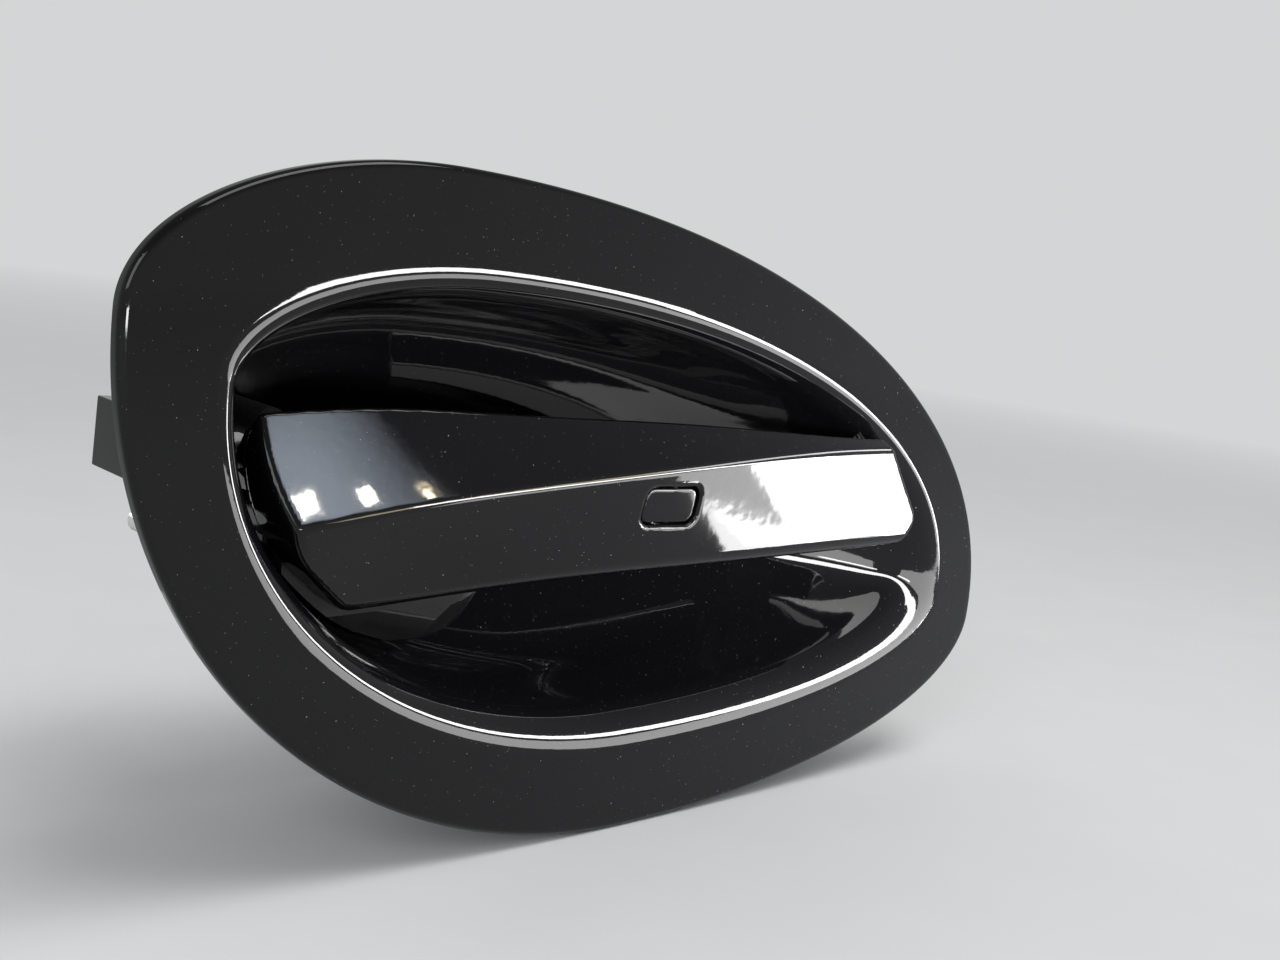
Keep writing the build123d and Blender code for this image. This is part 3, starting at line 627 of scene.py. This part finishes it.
def spread(*stretches):
    """Grid places: stretches of (start, end, step) joined end to end."""
    places = []
    for start, end, step in stretches:
        places.append(np.linspace(start, end, max(2, round((end - start) / step) + 1))[:-1])
    return np.concatenate(places + [[stretches[-1][1]]])


def net(field, grid):
    """Points and quads on the zero surface of a field sampled on a grid of points."""
    value = field(grid)
    inside = value < 0
    cells = tuple(n - 1 for n in value.shape)
    total = np.zeros(cells + (3,))
    number = np.zeros(cells)
    crossings = []
    for axis in range(3):
        low = [slice(None)] * 3
        high = [slice(None)] * 3
        low[axis] = slice(None, -1)
        high[axis] = slice(1, None)
        v0, v1 = value[tuple(low)], value[tuple(high)]
        crossed = inside[tuple(low)] != inside[tuple(high)]
        share = np.where(crossed, v0 / np.where(crossed, v0 - v1, 1), 0)[..., None]
        place = grid[tuple(low)] * (1 - share) + grid[tuple(high)] * share
        crossings.append((crossed, inside[tuple(low)]))
        others = [a for a in range(3) if a != axis]
        for first in (0, 1):
            for second in (0, 1):
                part = [slice(None)] * 3
                part[others[0]] = slice(first, cells[others[0]] + first)
                part[others[1]] = slice(second, cells[others[1]] + second)
                hit = crossed[tuple(part)]
                total += place[tuple(part)] * hit[..., None]
                number += hit
    used = number > 0
    index = np.full(cells, -1)
    index[used] = np.arange(used.sum())
    points = total[used] / number[used][:, None]
    quads = []
    for axis in range(3):
        crossed, start_inside = crossings[axis]
        i, j, k = np.nonzero(crossed)
        place = np.stack([i, j, k], axis=1)
        u, v = [a for a in range(3) if a != axis]
        interior = (place[:, u] > 0) & (place[:, v] > 0)
        interior &= (place[:, u] < cells[u]) & (place[:, v] < cells[v])
        place = place[interior]
        forward = start_inside[i[interior], j[interior], k[interior]]
        if axis == 1:
            forward = ~forward
        ring = []
        for du, dv in ((1, 1), (0, 1), (0, 0), (1, 0)):
            cell = place.copy()
            cell[:, u] -= du
            cell[:, v] -= dv
            ring.append(index[cell[:, 0], cell[:, 1], cell[:, 2]])
        ring = np.stack(ring, axis=1)
        ring[~forward] = ring[~forward][:, ::-1]
        quads.append(ring)
    return settle(field, points), np.concatenate(quads)


def settle(field, points, rounds=3, reach=0.01, limit=0.3, flattest=0.25):
    """Moves points onto the field's zero surface, by the slope that it has over a short reach."""
    for _ in range(rounds):
        here = field(points)
        slope = np.zeros_like(points)
        for axis in range(3):
            step = np.zeros(3)
            step[axis] = reach
            slope[:, axis] = (field(points + step) - here) / reach
        size = np.maximum(np.sum(slope**2, axis=1), flattest)
        move = np.clip(here / size, -limit, limit)
        points = points - slope * move[:, None]
    return points


def strap_grid(xs, depths, below, above):
    """Grid whose rows follow the crease and the top edge: shares below the crease and above it."""
    _, crease_z, _, top_z, _, low_z, _ = grip_lines(xs)
    floor_z = np.minimum(low_z, COVER_LOWEST) - COVER_MARGIN
    lower = floor_z[:, None] + (crease_z - floor_z)[:, None] * below[None, :]
    upper = crease_z[:, None] + (top_z - crease_z)[:, None] * above[None, 1:]
    roof = top_z[:, None] + np.array(COVER_ROOF)[None, :]
    zs = np.concatenate([lower, upper, roof], axis=1)
    grid = np.zeros((len(xs), len(depths), zs.shape[1], 3))
    grid[..., 0] = xs[:, None, None]
    grid[..., 1] = depths[None, :, None]
    grid[..., 2] = zs[:, None, :]
    return grid


def make_cover(material):
    """Painted cover of the strap with the pocket of the lock button."""
    stretches = (COVER_ALONG, COVER_DEEP, COVER_BELOW, COVER_ABOVE)
    points, quads = net(cover_field, strap_grid(*[spread(*rows) for rows in stretches]))
    cover = make_object("grip_cover_skin", points, quads, sharp=SHARP_FROM_STRAP)
    dress(cover, material, "body_paint", "grip", "grip_cover")
    return cover


def make_button(material):
    """Lock button in its pocket."""
    places = [spread(row) for row in (BUTTON_ALONG, BUTTON_DEEP, BUTTON_HIGH)]
    grid = np.stack(np.meshgrid(*places, indexing="ij"), axis=-1)
    points, quads = net(knob_field, grid)
    button = make_object("lock_button_skin", points, quads, sharp=SHARP_FROM_STRAP)
    dress(button, material, "body_paint", "grip", "lock_button")
    return button


# Fasteners, pins and spring

def stud_shell(x, z, count=24):
    """Headed stud with a rolled thread, its head flush with the flange's back."""
    neck = STUD_RADIUS - FIT_GAP
    rows = (
        # height over the flange's back, radius
        (-STUD_HEAD_HEIGHT, STUD_HEAD_RADIUS),
        (-STUD_HEAD_BEVEL, STUD_HEAD_RADIUS),
        (0.0, STUD_HEAD_RADIUS - STUD_HEAD_BEVEL),
        (0.0, STUD_RADIUS + STUD_FILLET),
        (STUD_FILLET, neck),
        (STUD_PLAIN, neck),
    )
    points = []
    for y, radius in rows:
        points += circle(x, z, y, radius, count)
    length = STUD_LENGTH - STUD_PLAIN
    steps = round(length / THREAD_PITCH * THREAD_STEPS)
    for step in range(1, steps + 1):
        y = STUD_PLAIN + length * step / steps
        fade = min(1.0, (y - STUD_PLAIN) / THREAD_PITCH)
        tip = max(0.0, y - STUD_LENGTH + STUD_TIP_BEVEL)
        for i in range(count):
            t = 2 * pi * i / count
            phase = (y / THREAD_PITCH - i / count) % 1.0
            groove = THREAD_DEPTH * (1 - abs(2 * phase - 1)) * fade
            radius = min(STUD_RADIUS - groove, STUD_RADIUS - tip)
            points.append((x + radius * cos(t), y, z + radius * sin(t)))
    return np.array(points), rings(len(rows) + steps, count)


def screw_shell(x, z):
    """Washer-head screw with a six-lobed drive."""
    profile = (
        # height over the carrier, radius, depth of the drive's lobes
        (-SCREW_LENGTH, SCREW_RADIUS - 0.6),
        (-SCREW_LENGTH + 0.8, SCREW_RADIUS),
        (0.0, SCREW_RADIUS),
        (0.0, SCREW_HEAD_RADIUS - 0.1),
        (0.1, SCREW_HEAD_RADIUS),
        (0.6, SCREW_HEAD_RADIUS),
        (0.75, SCREW_HEAD_RADIUS - 0.12),
        (0.95, 3.15),
        (1.15, 2.95),
        (1.9, 2.9),
        (2.3, 2.72),
        (2.55, 2.3),
        (2.6, 1.75, 0.18),
        (2.5, 1.5, 0.2),
        (1.1, 1.4, 0.2),
        (0.8, 0.7, 0.0),
    )
    return turned(profile, (x, CARRIER_BACK, z), (0, 1, 0), count=60)


def clip_place(start):
    """Place of a pin's groove and clip along it."""
    return start + PIN_OVERHANG - CLIP_PLAY - CLIP_THICKNESS


def pin_shell(middle, along, start, end):
    """Pin with a domed head at its far end and a groove for its clip at the near one."""
    groove = clip_place(start)
    tip = PIN_RADIUS - 2 * FIT_GAP
    profile = (
        # place along the pin, radius
        (start, PIN_RADIUS - 0.5),
        (start + 0.35, tip),
        (groove, tip),
        (groove, PIN_RADIUS - PIN_GROOVE_DEPTH),
        (groove + CLIP_THICKNESS, PIN_RADIUS - PIN_GROOVE_DEPTH),
        (groove + CLIP_THICKNESS, PIN_RADIUS - FIT_GAP),
        (end, PIN_RADIUS - FIT_GAP),
        (end, PIN_HEAD_RADIUS - 0.2),
        (end + 0.2, PIN_HEAD_RADIUS),
        (end + 0.8, PIN_HEAD_RADIUS),
        (end + 1.2, PIN_HEAD_RADIUS - 0.35),
        (end + 1.45, PIN_HEAD_RADIUS - 1.2),
        (end + PIN_HEAD_HEIGHT, PIN_HEAD_RADIUS - 2.4),
    )
    return turned(profile, middle, along, count=64)


def clip_shell(middle, along, place, steps=54):
    """Snap ring with three prongs that grip the pin's groove."""
    first, second = axes_across(along)
    along = Vector(along)
    middle = Vector(middle) + along * place
    top = CLIP_THICKNESS
    points = []
    for step in range(steps + 1):
        t = radians(CLIP_MOUTH / 2 + (360 - CLIP_MOUTH) * step / steps)
        inner = PIN_RADIUS - CLIP_BITE + CLIP_WAVE * sin(2 * pi * step / steps) ** 2
        side = first * cos(t) + second * sin(t)
        for reach, lift in ((inner, 0), (CLIP_RADIUS, 0), (CLIP_RADIUS, top), (inner, top)):
            points.append(middle + side * reach + along * lift)
    return np.array(points), rings(steps + 1, 4)


def make_fasteners(zinc, steel):
    """Studs, screws, pins and their clips."""
    shells = joined([stud_shell(x, z) for x, z in STUD_PLACES])
    studs = make_object("threaded_studs", *shells, closed=True)
    dress(studs, zinc, "zinc_steel", "housing", "door_studs")
    shells = joined([screw_shell(x, z) for x, z in BOSS_PLACES])
    screws = make_object("washer_screws", *shells, closed=True)
    dress(screws, zinc, "zinc_steel", "housing", "carrier_screws")
    pins = (
        ("pivot", (*PIVOT, 0), (0, 0, 1), PIVOT_ENDS, "pivot_pin"),
        ("crank", (0, *CRANK), (1, 0, 0), CRANK_ENDS, "crank_pin"),
    )
    for name, middle, along, (start, end), node in pins:
        pin = make_object(f"{name}_axle", *pin_shell(middle, along, start, end), closed=True)
        dress(pin, steel, "pin_steel", "housing", node)
        clip = make_object(f"{name}_clip", *clip_shell(middle, along, clip_place(start)), closed=True)
        dress(clip, steel, "pin_steel", "housing")


def spring_path(bend_points=9):
    """Middle of the spring's wire: leg in the carrier, coils, and a leg hooked over the weight."""
    x0, x1 = SPRING_ENDS
    y0, z0 = CRANK
    low = z0 - SPRING_RADIUS
    points = [(x1, CARRIER_BACK - SPRING_SUNK, low), (x1, y0 - SPRING_STRAIGHT, low)]
    steps = round(SPRING_STEPS * SPRING_TURNS)
    for step in range(steps + 1):
        share = step / steps
        t = 2 * pi * (SPRING_TURNS * share - SPRING_LOW_TURN)
        y = y0 + SPRING_RADIUS * cos(t)
        points.append((x1 + (x0 - x1) * share, y, z0 + SPRING_RADIUS * sin(t)))
    side = y0 + WEIGHT_HALF_WIDTH + SPRING_WIRE / 2 + SPRING_GAP
    bend = np.array([x0, side, z0 + SPRING_LEG_HEIGHT])
    rise = bend - (0, 0, SPRING_LEG_BEND)
    across = bend - (SPRING_LEG_BEND, 0, 0)
    points += bend_rows(rise, bend, across, bend_points)
    points.append((x0 - SPRING_LEG_END, side, z0 + SPRING_LEG_HEIGHT))
    return np.array(points)


def wire_shell(path, radius, count=14):
    """Tube along a line of points, its ends slightly rounded."""
    ahead = np.gradient(path, axis=0)
    ahead /= np.linalg.norm(ahead, axis=1)[:, None]
    side = Vector(ahead[0]).orthogonal().normalized()
    points = []
    last = len(path) - 1
    for i, (place, direction) in enumerate(zip(path, ahead)):
        direction = Vector(direction)
        side = (side - direction * side.dot(direction)).normalized()
        other = direction.cross(side)
        here = radius * (WIRE_END_SHARE if i in (0, last) else 1.0)
        for k in range(count):
            t = 2 * pi * k / count
            points.append(Vector(place) + (side * cos(t) + other * sin(t)) * here)
    return np.array(points), rings(len(path), count)


def make_spring(material):
    """Torsion spring, one leg sunk in the carrier and the other hooked over the weight, built as one
    fixed piece.
    """
    wire = wire_shell(spring_path(), SPRING_WIRE / 2)
    spring = make_object("spring_coils", *wire, sharp=SHARP_FROM_WIRE, closed=True)
    spring.data.materials.append(material)
    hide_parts("return_spring")
    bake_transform(spring)


# Moulded pieces

SOFTENED_FROM = 38         # degrees between the faces of an edge that gets rounded
WELD_REACH = 0.002         # points this near each other are merged first
SHANK_FROM_Y = 24          # the strap's shank, fork and pivot lug lie behind this depth
HUB_TOP_Z = 31             # top of the hub that the weight sits on
EAR_ROOT_X = -84           # the rim runs into the rear ear behind this place,
EAR_ROOT_Y = (44, 49)      # between these depths
EAR_ROOT_Z = (29, 37)      # and these heights


def clear_of_ear_root(x, y, z):
    """Carrier edges away from the tight corner where its rim runs into the rear ear."""
    near_y = EAR_ROOT_Y[0] < y < EAR_ROOT_Y[1]
    near_z = EAR_ROOT_Z[0] < z < EAR_ROOT_Z[1]
    return not (x < EAR_ROOT_X and near_y and near_z)


def behind_recess(x, y, z):
    """Strap edges of the shank, its fork and the pivot lug, behind the recess."""
    return y > SHANK_FROM_Y


def above_hub(x, y, z):
    """Weight edges clear of its saddle on the crank's hub."""
    return z > HUB_TOP_Z


def anywhere(x, y, z):
    """All edges."""
    return True


SOFTENED = {
    # node: slot, body, rounding, degrees within which facets are joined, which edges
    "grip_base": ("base_plastic", "grip", 0.3, 1, behind_recess),
    "carrier": ("carrier_plastic", "housing", 0.35, 1, clear_of_ear_root),
    "bell_crank": ("crank_plastic", "crank", 0.25, 4, anywhere),
    "counterweight": ("cast_zinc", "crank", 0.4, 1, above_hub),
}


def make_softened(node, finishes):
    """Stands in for a moulded node: its copy with facets joined and sharp edges rounded."""
    slot_name, body, width, flatten, chosen = SOFTENED[node]
    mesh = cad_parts[node].data.copy()
    work = bmesh.new()
    work.from_mesh(mesh)
    bmesh.ops.remove_doubles(work, verts=work.verts, dist=WELD_REACH * MM)
    bmesh.ops.dissolve_limit(work, angle_limit=radians(flatten), verts=work.verts, edges=work.edges)
    weight = work.edges.layers.float.new("bevel_weight_edge")
    for edge in work.edges:
        middle = (edge.verts[0].co + edge.verts[1].co) / 2 / MM
        if edge.calc_face_angle(0) > radians(SOFTENED_FROM) and chosen(*middle):
            edge[weight] = 1.0
    work.to_mesh(mesh)
    work.free()
    piece = bpy.data.objects.new(f"{node}_moulded", mesh)
    bpy.context.scene.collection.objects.link(piece)
    step = piece.modifiers.new("edges", "BEVEL")
    step.width = width * MM
    step.segments = 2
    step.limit_method = "WEIGHT"
    step.use_clamp_overlap = False
    apply_modifiers(piece)
    piece.data.shade_smooth()
    piece.data.set_sharp_from_angle(angle=radians(SHARP_FROM))
    flats = piece.modifiers.new("flats", "WEIGHTED_NORMAL")
    flats.keep_sharp = True
    apply_modifiers(piece)
    dress(piece, finishes[slot_name], slot_name, body, node)
    return piece


# Materials

PAINT_BLACK = (0.0022, 0.0022, 0.0026)
PAINT_DUST = (0.12, 0.12, 0.12)
PAINT_ROUGHNESS = (0.02, 0.07)
PEEL_DEPTH = 0.000012
GLOSS_IOR = 1.34           # lower than real, as the pale studio gives gloss more to reflect

# Noise fields as waves a metre and detail, and the bands of them that are used.
HAZE = (45, 4)
DUST = (2600, 1)
PEEL = (330, 1.5)
BROAD = (60, 3)
GRAIN_DETAIL = 4
HAZE_BAND = (0.3, 0.75)
DUST_BAND = (0.76, 0.80)
GRAIN_BAND = (0.3, 0.7)

FINISHES = {
    # name: dark, light, roughness range, grain per metre, bump, metallic, and IOR if not 1.5
    "base_plastic": (
        (0.004, 0.004, 0.0045), (0.007, 0.007, 0.0075), (0.07, 0.16), 1800, 0.000006, 0.0, GLOSS_IOR,
    ),
    "carrier_plastic": ((0.018, 0.018, 0.02), (0.034, 0.034, 0.036), (0.5, 0.75), 2200, 0.00004, 0.0),
    "crank_plastic": ((0.60, 0.575, 0.51), (0.68, 0.66, 0.60), (0.35, 0.5), 900, 0.00002, 0.0),
    "roller_plastic": ((0.72, 0.71, 0.66), (0.8, 0.79, 0.75), (0.3, 0.42), 900, 0.00001, 0.0),
    "rubber": ((0.012, 0.012, 0.012), (0.022, 0.022, 0.022), (0.65, 0.85), 1500, 0.00004, 0.0),
    "zinc_steel": ((0.55, 0.56, 0.57), (0.68, 0.67, 0.62), (0.2, 0.36), 1400, 0.00001, 1.0),
    "pin_steel": ((0.45, 0.45, 0.46), (0.56, 0.56, 0.56), (0.18, 0.3), 1600, 0.00001, 1.0),
    "spring_steel": ((0.10, 0.10, 0.10), (0.2, 0.2, 0.2), (0.25, 0.4), 1200, 0.00001, 1.0),
    "cast_zinc": ((0.34, 0.345, 0.35), (0.46, 0.46, 0.46), (0.4, 0.6), 1100, 0.00005, 0.85),
}
NODE_FINISHES = {"flange_gasket": "rubber", "rear_buffer": "rubber", "crank_roller": "roller_plastic"}


def material_nodes(name):
    """New node material: returns it with its tree, shader and object coordinates."""
    material = bpy.data.materials.new(name)
    material.use_nodes = True
    tree = material.node_tree
    shader = tree.nodes["Principled BSDF"]
    place = tree.nodes.new("ShaderNodeTexCoord").outputs["Object"]
    return material, tree, shader, place


def noise(tree, place, per_metre, detail):
    """Noise field of this many waves a metre."""
    node = tree.nodes.new("ShaderNodeTexNoise")
    node.inputs["Scale"].default_value = per_metre
    node.inputs["Detail"].default_value = detail
    tree.links.new(place, node.inputs["Vector"])
    return node.outputs["Fac"]


def remap(tree, value, low_in, high_in, low_out=0.0, high_out=1.0):
    """Linear change of a field's range, held at its ends."""
    node = tree.nodes.new("ShaderNodeMapRange")
    node.inputs["From Min"].default_value = low_in
    node.inputs["From Max"].default_value = high_in
    node.inputs["To Min"].default_value = low_out
    node.inputs["To Max"].default_value = high_out
    tree.links.new(value, node.inputs["Value"])
    return node.outputs["Result"]


def blend_colours(tree, share, first, second):
    """Colour between two by a field."""
    node = tree.nodes.new("ShaderNodeMix")
    node.data_type = "RGBA"
    node.inputs[6].default_value = (*first, 1)
    node.inputs[7].default_value = (*second, 1)
    tree.links.new(share, node.inputs["Factor"])
    return node.outputs[2]


def add_bump(tree, shader, height, distance):
    """Bump from a height field, in metres."""
    node = tree.nodes.new("ShaderNodeBump")
    node.inputs["Distance"].default_value = distance
    tree.links.new(height, node.inputs["Height"])
    tree.links.new(node.outputs["Normal"], shader.inputs["Normal"])


def paint_material():
    """Gloss black body paint with faint orange peel, fine dust and polishing haze."""
    material, tree, shader, place = material_nodes("body_paint")
    haze = noise(tree, place, *HAZE)
    dust = noise(tree, place, *DUST)
    specks = remap(tree, dust, *DUST_BAND)
    colour = blend_colours(tree, specks, PAINT_BLACK, PAINT_DUST)
    tree.links.new(colour, shader.inputs["Base Color"])
    tree.links.new(remap(tree, haze, *HAZE_BAND, *PAINT_ROUGHNESS), shader.inputs["Roughness"])
    shader.inputs["IOR"].default_value = GLOSS_IOR
    peel = noise(tree, place, *PEEL)
    add_bump(tree, shader, peel, PEEL_DEPTH)
    return material


def plain_material(name, dark, light, rough, per_metre, bump, metallic=0.0, ior=1.5):
    """Moulded or metal finish with grain, colour variation and bump."""
    material, tree, shader, place = material_nodes(name)
    grain = noise(tree, place, per_metre, GRAIN_DETAIL)
    broad = noise(tree, place, *BROAD)
    tree.links.new(blend_colours(tree, broad, dark, light), shader.inputs["Base Color"])
    tree.links.new(remap(tree, grain, *GRAIN_BAND, *rough), shader.inputs["Roughness"])
    shader.inputs["Metallic"].default_value = metallic
    shader.inputs["IOR"].default_value = ior
    add_bump(tree, shader, grain, bump)
    return material


def finish_nodes(finishes):
    """Puts a finish on every CAD node that stays."""
    for node, name in NODE_FINISHES.items():
        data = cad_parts[node].data
        data.materials.clear()
        data.materials.append(finishes[name])


# Studio

BACKDROP = (0.66, 0.665, 0.67)
OVERHEAD = (0.26, 0.265, 0.27)
OVERHEAD_RISE = (0.22, 0.75)   # heights of view between which the backdrop turns greyer
FILL_STRENGTH = 0.45
FLOOR_Z = cad_box[0].z / MM    # the part stands on its lowest point
FLOOR_TONES = ((0.70, 0.71, 0.72), (0.74, 0.75, 0.76))
FLOOR_GRAIN = (30, 3)          # waves a metre and detail
FLOOR_ROUGHNESS = 0.7
FLOOR_REACH = 9000
FLOOR_FADE = (0.5, 1.6)        # metres from the middle between which the floor fades out
LAMP_FADE = (0.1, 0.5)         # shares of a soft lamp's side between which its light fades out

WHITE = (1, 1, 1)
DAYLIGHT = (1, 0.99, 0.97)
IVORY = (1, 0.97, 0.88)
WARM = (1, 0.84, 0.58)
COOL = (0.93, 0.96, 1)
BLUE = (0.76, 0.86, 1)

# Lamps: name, place, target, width, height, roll, power, colour, soft. The strap's and the rim's
# light the painted pieces alone, for the reflections in the photograph.
ROOM_LAMPS = (
    ("lamp_above", (150, -350, 1100), (0, 0, 0), 900, 500, 0, 7.5, DAYLIGHT, False),
    ("lamp_left", (-900, -500, 500), (0, 0, 0), 500, 500, 0, 3.5, COOL, False),
)
STRAP_LAMPS = (
    ("lamp_tip_low", (190, -115, -26), (190, 0, -26), 150, 20, 22, 0.25, WHITE, False),
    ("lamp_tip_high", (198.5, -115, -1.1), (198.5, 0, -1.1), 115, 20, 22, 0.19, WHITE, False),
    ("lamp_glow", (80, -450, 490), (-88, -3, 6), 300, 260, 0, 3.0, BLUE, True),
    ("lamp_spot_end", (-49, -102, 113), (-86, -3, 6), 7, 6, 0, 0.013, IVORY, False),
    ("lamp_spot_rear", (-28, -98, 113.6), (-75, -4, 6.5), 6, 5, 0, 0.009, IVORY, False),
    ("lamp_spot_front", (-6, -93, 115), (-63, -5, 8), 3.5, 3.5, 0, 0.004, WARM, False),
    ("lamp_crease_rear", (145, -300, 68), (145, 0, 68), 230, 60, 24.6, 0.5, WARM, False),
    ("lamp_crease_front", (555, -300, 256), (555, 0, 256), 670, 60, 24.6, 2.2, WHITE, False),
)
RIM_LAMPS = (
    ("lamp_rim_top", (62, -130, 18), (62, 0, 18), 136, 20, 0, 0.40, WHITE, False),
    ("lamp_rim_slope", (166, -130, 3.5), (166, 0, 3.5), 95, 20, -14, 0.28, WHITE, False),
    ("lamp_rim_front", (229, -130, -27), (229, 0, -27), 59, 20, -45, 0.17, WHITE, False),
    ("lamp_rim_low", (130, -130, -30), (130, 0, -30), 225, 42, 0, 0.3, WHITE, False),
    ("lamp_front", (-200, -800, -35), (40, 0, 0), 300, 50, 0, 2.0, WHITE, False),
)


def larger(tree, first, second):
    """The larger of two values."""
    node = tree.nodes.new("ShaderNodeMath")
    node.operation = "MAXIMUM"
    tree.links.new(first, node.inputs[0])
    tree.links.new(second, node.inputs[1])
    return node.outputs[0]


def seen_strength(tree):
    """1 for rays that see the background directly, in gloss or through glass."""
    path = tree.nodes.new("ShaderNodeLightPath").outputs
    seen = larger(tree, path["Is Camera Ray"], path["Is Glossy Ray"])
    return larger(tree, seen, path["Is Transmission Ray"])


def make_world():
    """Backdrop that is pale at the horizon and greyer overhead, with a soft fill."""
    world = bpy.data.worlds.new("studio")
    bpy.context.scene.world = world
    world.use_nodes = True
    tree = world.node_tree
    fill = tree.nodes["Background"]
    fill.inputs["Color"].default_value = (1, 1, 1, 1)
    fill.inputs["Strength"].default_value = FILL_STRENGTH
    seen = tree.nodes.new("ShaderNodeBackground")
    direction = tree.nodes.new("ShaderNodeTexCoord").outputs["Generated"]
    parts = tree.nodes.new("ShaderNodeSeparateXYZ")
    tree.links.new(direction, parts.inputs[0])
    height = remap(tree, parts.outputs["Z"], *OVERHEAD_RISE)
    tree.links.new(blend_colours(tree, height, BACKDROP, OVERHEAD), seen.inputs["Color"])
    mix = tree.nodes.new("ShaderNodeMixShader")
    tree.links.new(seen_strength(tree), mix.inputs[0])
    tree.links.new(fill.outputs[0], mix.inputs[1])
    tree.links.new(seen.outputs[0], mix.inputs[2])
    tree.links.new(mix.outputs[0], tree.nodes["World Output"].inputs["Surface"])


def make_floor():
    """Pale floor that fades into the backdrop."""
    corners = ((-1, -1), (1, -1), (1, 1), (-1, 1))
    points = [(x * FLOOR_REACH, y * FLOOR_REACH, FLOOR_Z) for x, y in corners]
    floor = make_object("studio_floor", points, [(0, 1, 2, 3)])
    material, tree, shader, place = material_nodes("studio_floor")
    grain = noise(tree, place, *FLOOR_GRAIN)
    tree.links.new(blend_colours(tree, grain, *FLOOR_TONES), shader.inputs["Base Color"])
    shader.inputs["Roughness"].default_value = FLOOR_ROUGHNESS
    far = tree.nodes.new("ShaderNodeEmission")
    far.inputs["Color"].default_value = (*BACKDROP, 1)
    length = tree.nodes.new("ShaderNodeVectorMath")
    length.operation = "LENGTH"
    tree.links.new(place, length.inputs[0])
    fade = remap(tree, length.outputs["Value"], *FLOOR_FADE)
    mix = tree.nodes.new("ShaderNodeMixShader")
    tree.links.new(fade, mix.inputs[0])
    tree.links.new(shader.outputs[0], mix.inputs[1])
    tree.links.new(far.outputs[0], mix.inputs[2])
    tree.links.new(mix.outputs[0], tree.nodes["Material Output"].inputs["Surface"])
    floor.data.materials.append(material)


def soften_lamp(lamp):
    """Fades a lamp's light out towards its edges."""
    lamp.use_nodes = True
    tree = lamp.node_tree
    spot = tree.nodes.new("ShaderNodeNewGeometry").outputs["Parametric"]
    centred = tree.nodes.new("ShaderNodeVectorMath")
    centred.operation = "DISTANCE"
    centred.inputs[1].default_value = (0.5, 0.5, 0.0)
    tree.links.new(spot, centred.inputs[0])
    fade = remap(tree, centred.outputs["Value"], *LAMP_FADE, 1.0, 0.0)
    tree.links.new(fade, tree.nodes["Emission"].inputs["Strength"])


def make_lamp(name, place, target, width, height, roll, power, colour, soft, receivers=()):
    """Rectangular lamp that faces a target, all in millimetres; with receivers it lights only them."""
    lamp = bpy.data.lights.new(name, "AREA")
    lamp.shape = "RECTANGLE"
    lamp.size = width * MM
    lamp.size_y = height * MM
    lamp.energy = power
    lamp.color = colour
    if soft:
        soften_lamp(lamp)
    thing = bpy.data.objects.new(name, lamp)
    bpy.context.scene.collection.objects.link(thing)
    thing.location = Vector(place) * MM
    aim = Vector(target) - Vector(place)
    thing.rotation_mode = "QUATERNION"
    thing.rotation_quaternion = aim.to_track_quat("-Z", "Y") @ Quaternion((0, 0, 1), radians(roll))
    thing.visible_camera = False
    if receivers:
        group = bpy.data.collections.new(f"{name}_receivers")
        for piece in receivers:
            group.objects.link(piece)
        thing.light_linking.receiver_collection = group


def make_camera():
    """Camera at the photograph's viewing angle."""
    data = bpy.data.cameras.new("camera")
    data.lens = CAMERA_LENS
    data.sensor_width = CAMERA_SENSOR
    data.clip_start = 0.01
    data.clip_end = 100
    camera = bpy.data.objects.new("camera", data)
    bpy.context.scene.collection.objects.link(camera)
    forward = Vector(CAMERA_FORWARD).normalized()
    right = Vector(CAMERA_RIGHT)
    right = (right - forward * right.dot(forward)).normalized()
    up = right.cross(forward)
    turn = Matrix((right, up, -forward)).transposed()
    camera.matrix_world = Matrix.Translation(Vector(CAMERA_PLACE) * MM) @ turn.to_4x4()
    bpy.context.scene.camera = camera


def main():
    """Builds the studio, the finishes and every piece."""
    bpy.context.scene.view_settings.view_transform = "Standard"
    make_camera()
    make_world()
    make_floor()
    for lamp in ROOM_LAMPS:
        make_lamp(*lamp)
    paint = paint_material()
    finishes = {name: plain_material(name, *values) for name, values in FINISHES.items()}
    finish_nodes(finishes)
    bowl = make_bowl(paint)
    base = make_softened("grip_base", finishes)
    strap = [make_cover(paint), make_button(paint), base]
    for lamp in STRAP_LAMPS:
        make_lamp(*lamp, strap)
    for lamp in RIM_LAMPS:
        make_lamp(*lamp, [bowl, *strap])
    make_fasteners(finishes["zinc_steel"], finishes["pin_steel"])
    make_spring(finishes["spring_steel"])
    for node in ("carrier", "bell_crank", "counterweight"):
        make_softened(node, finishes)


main()
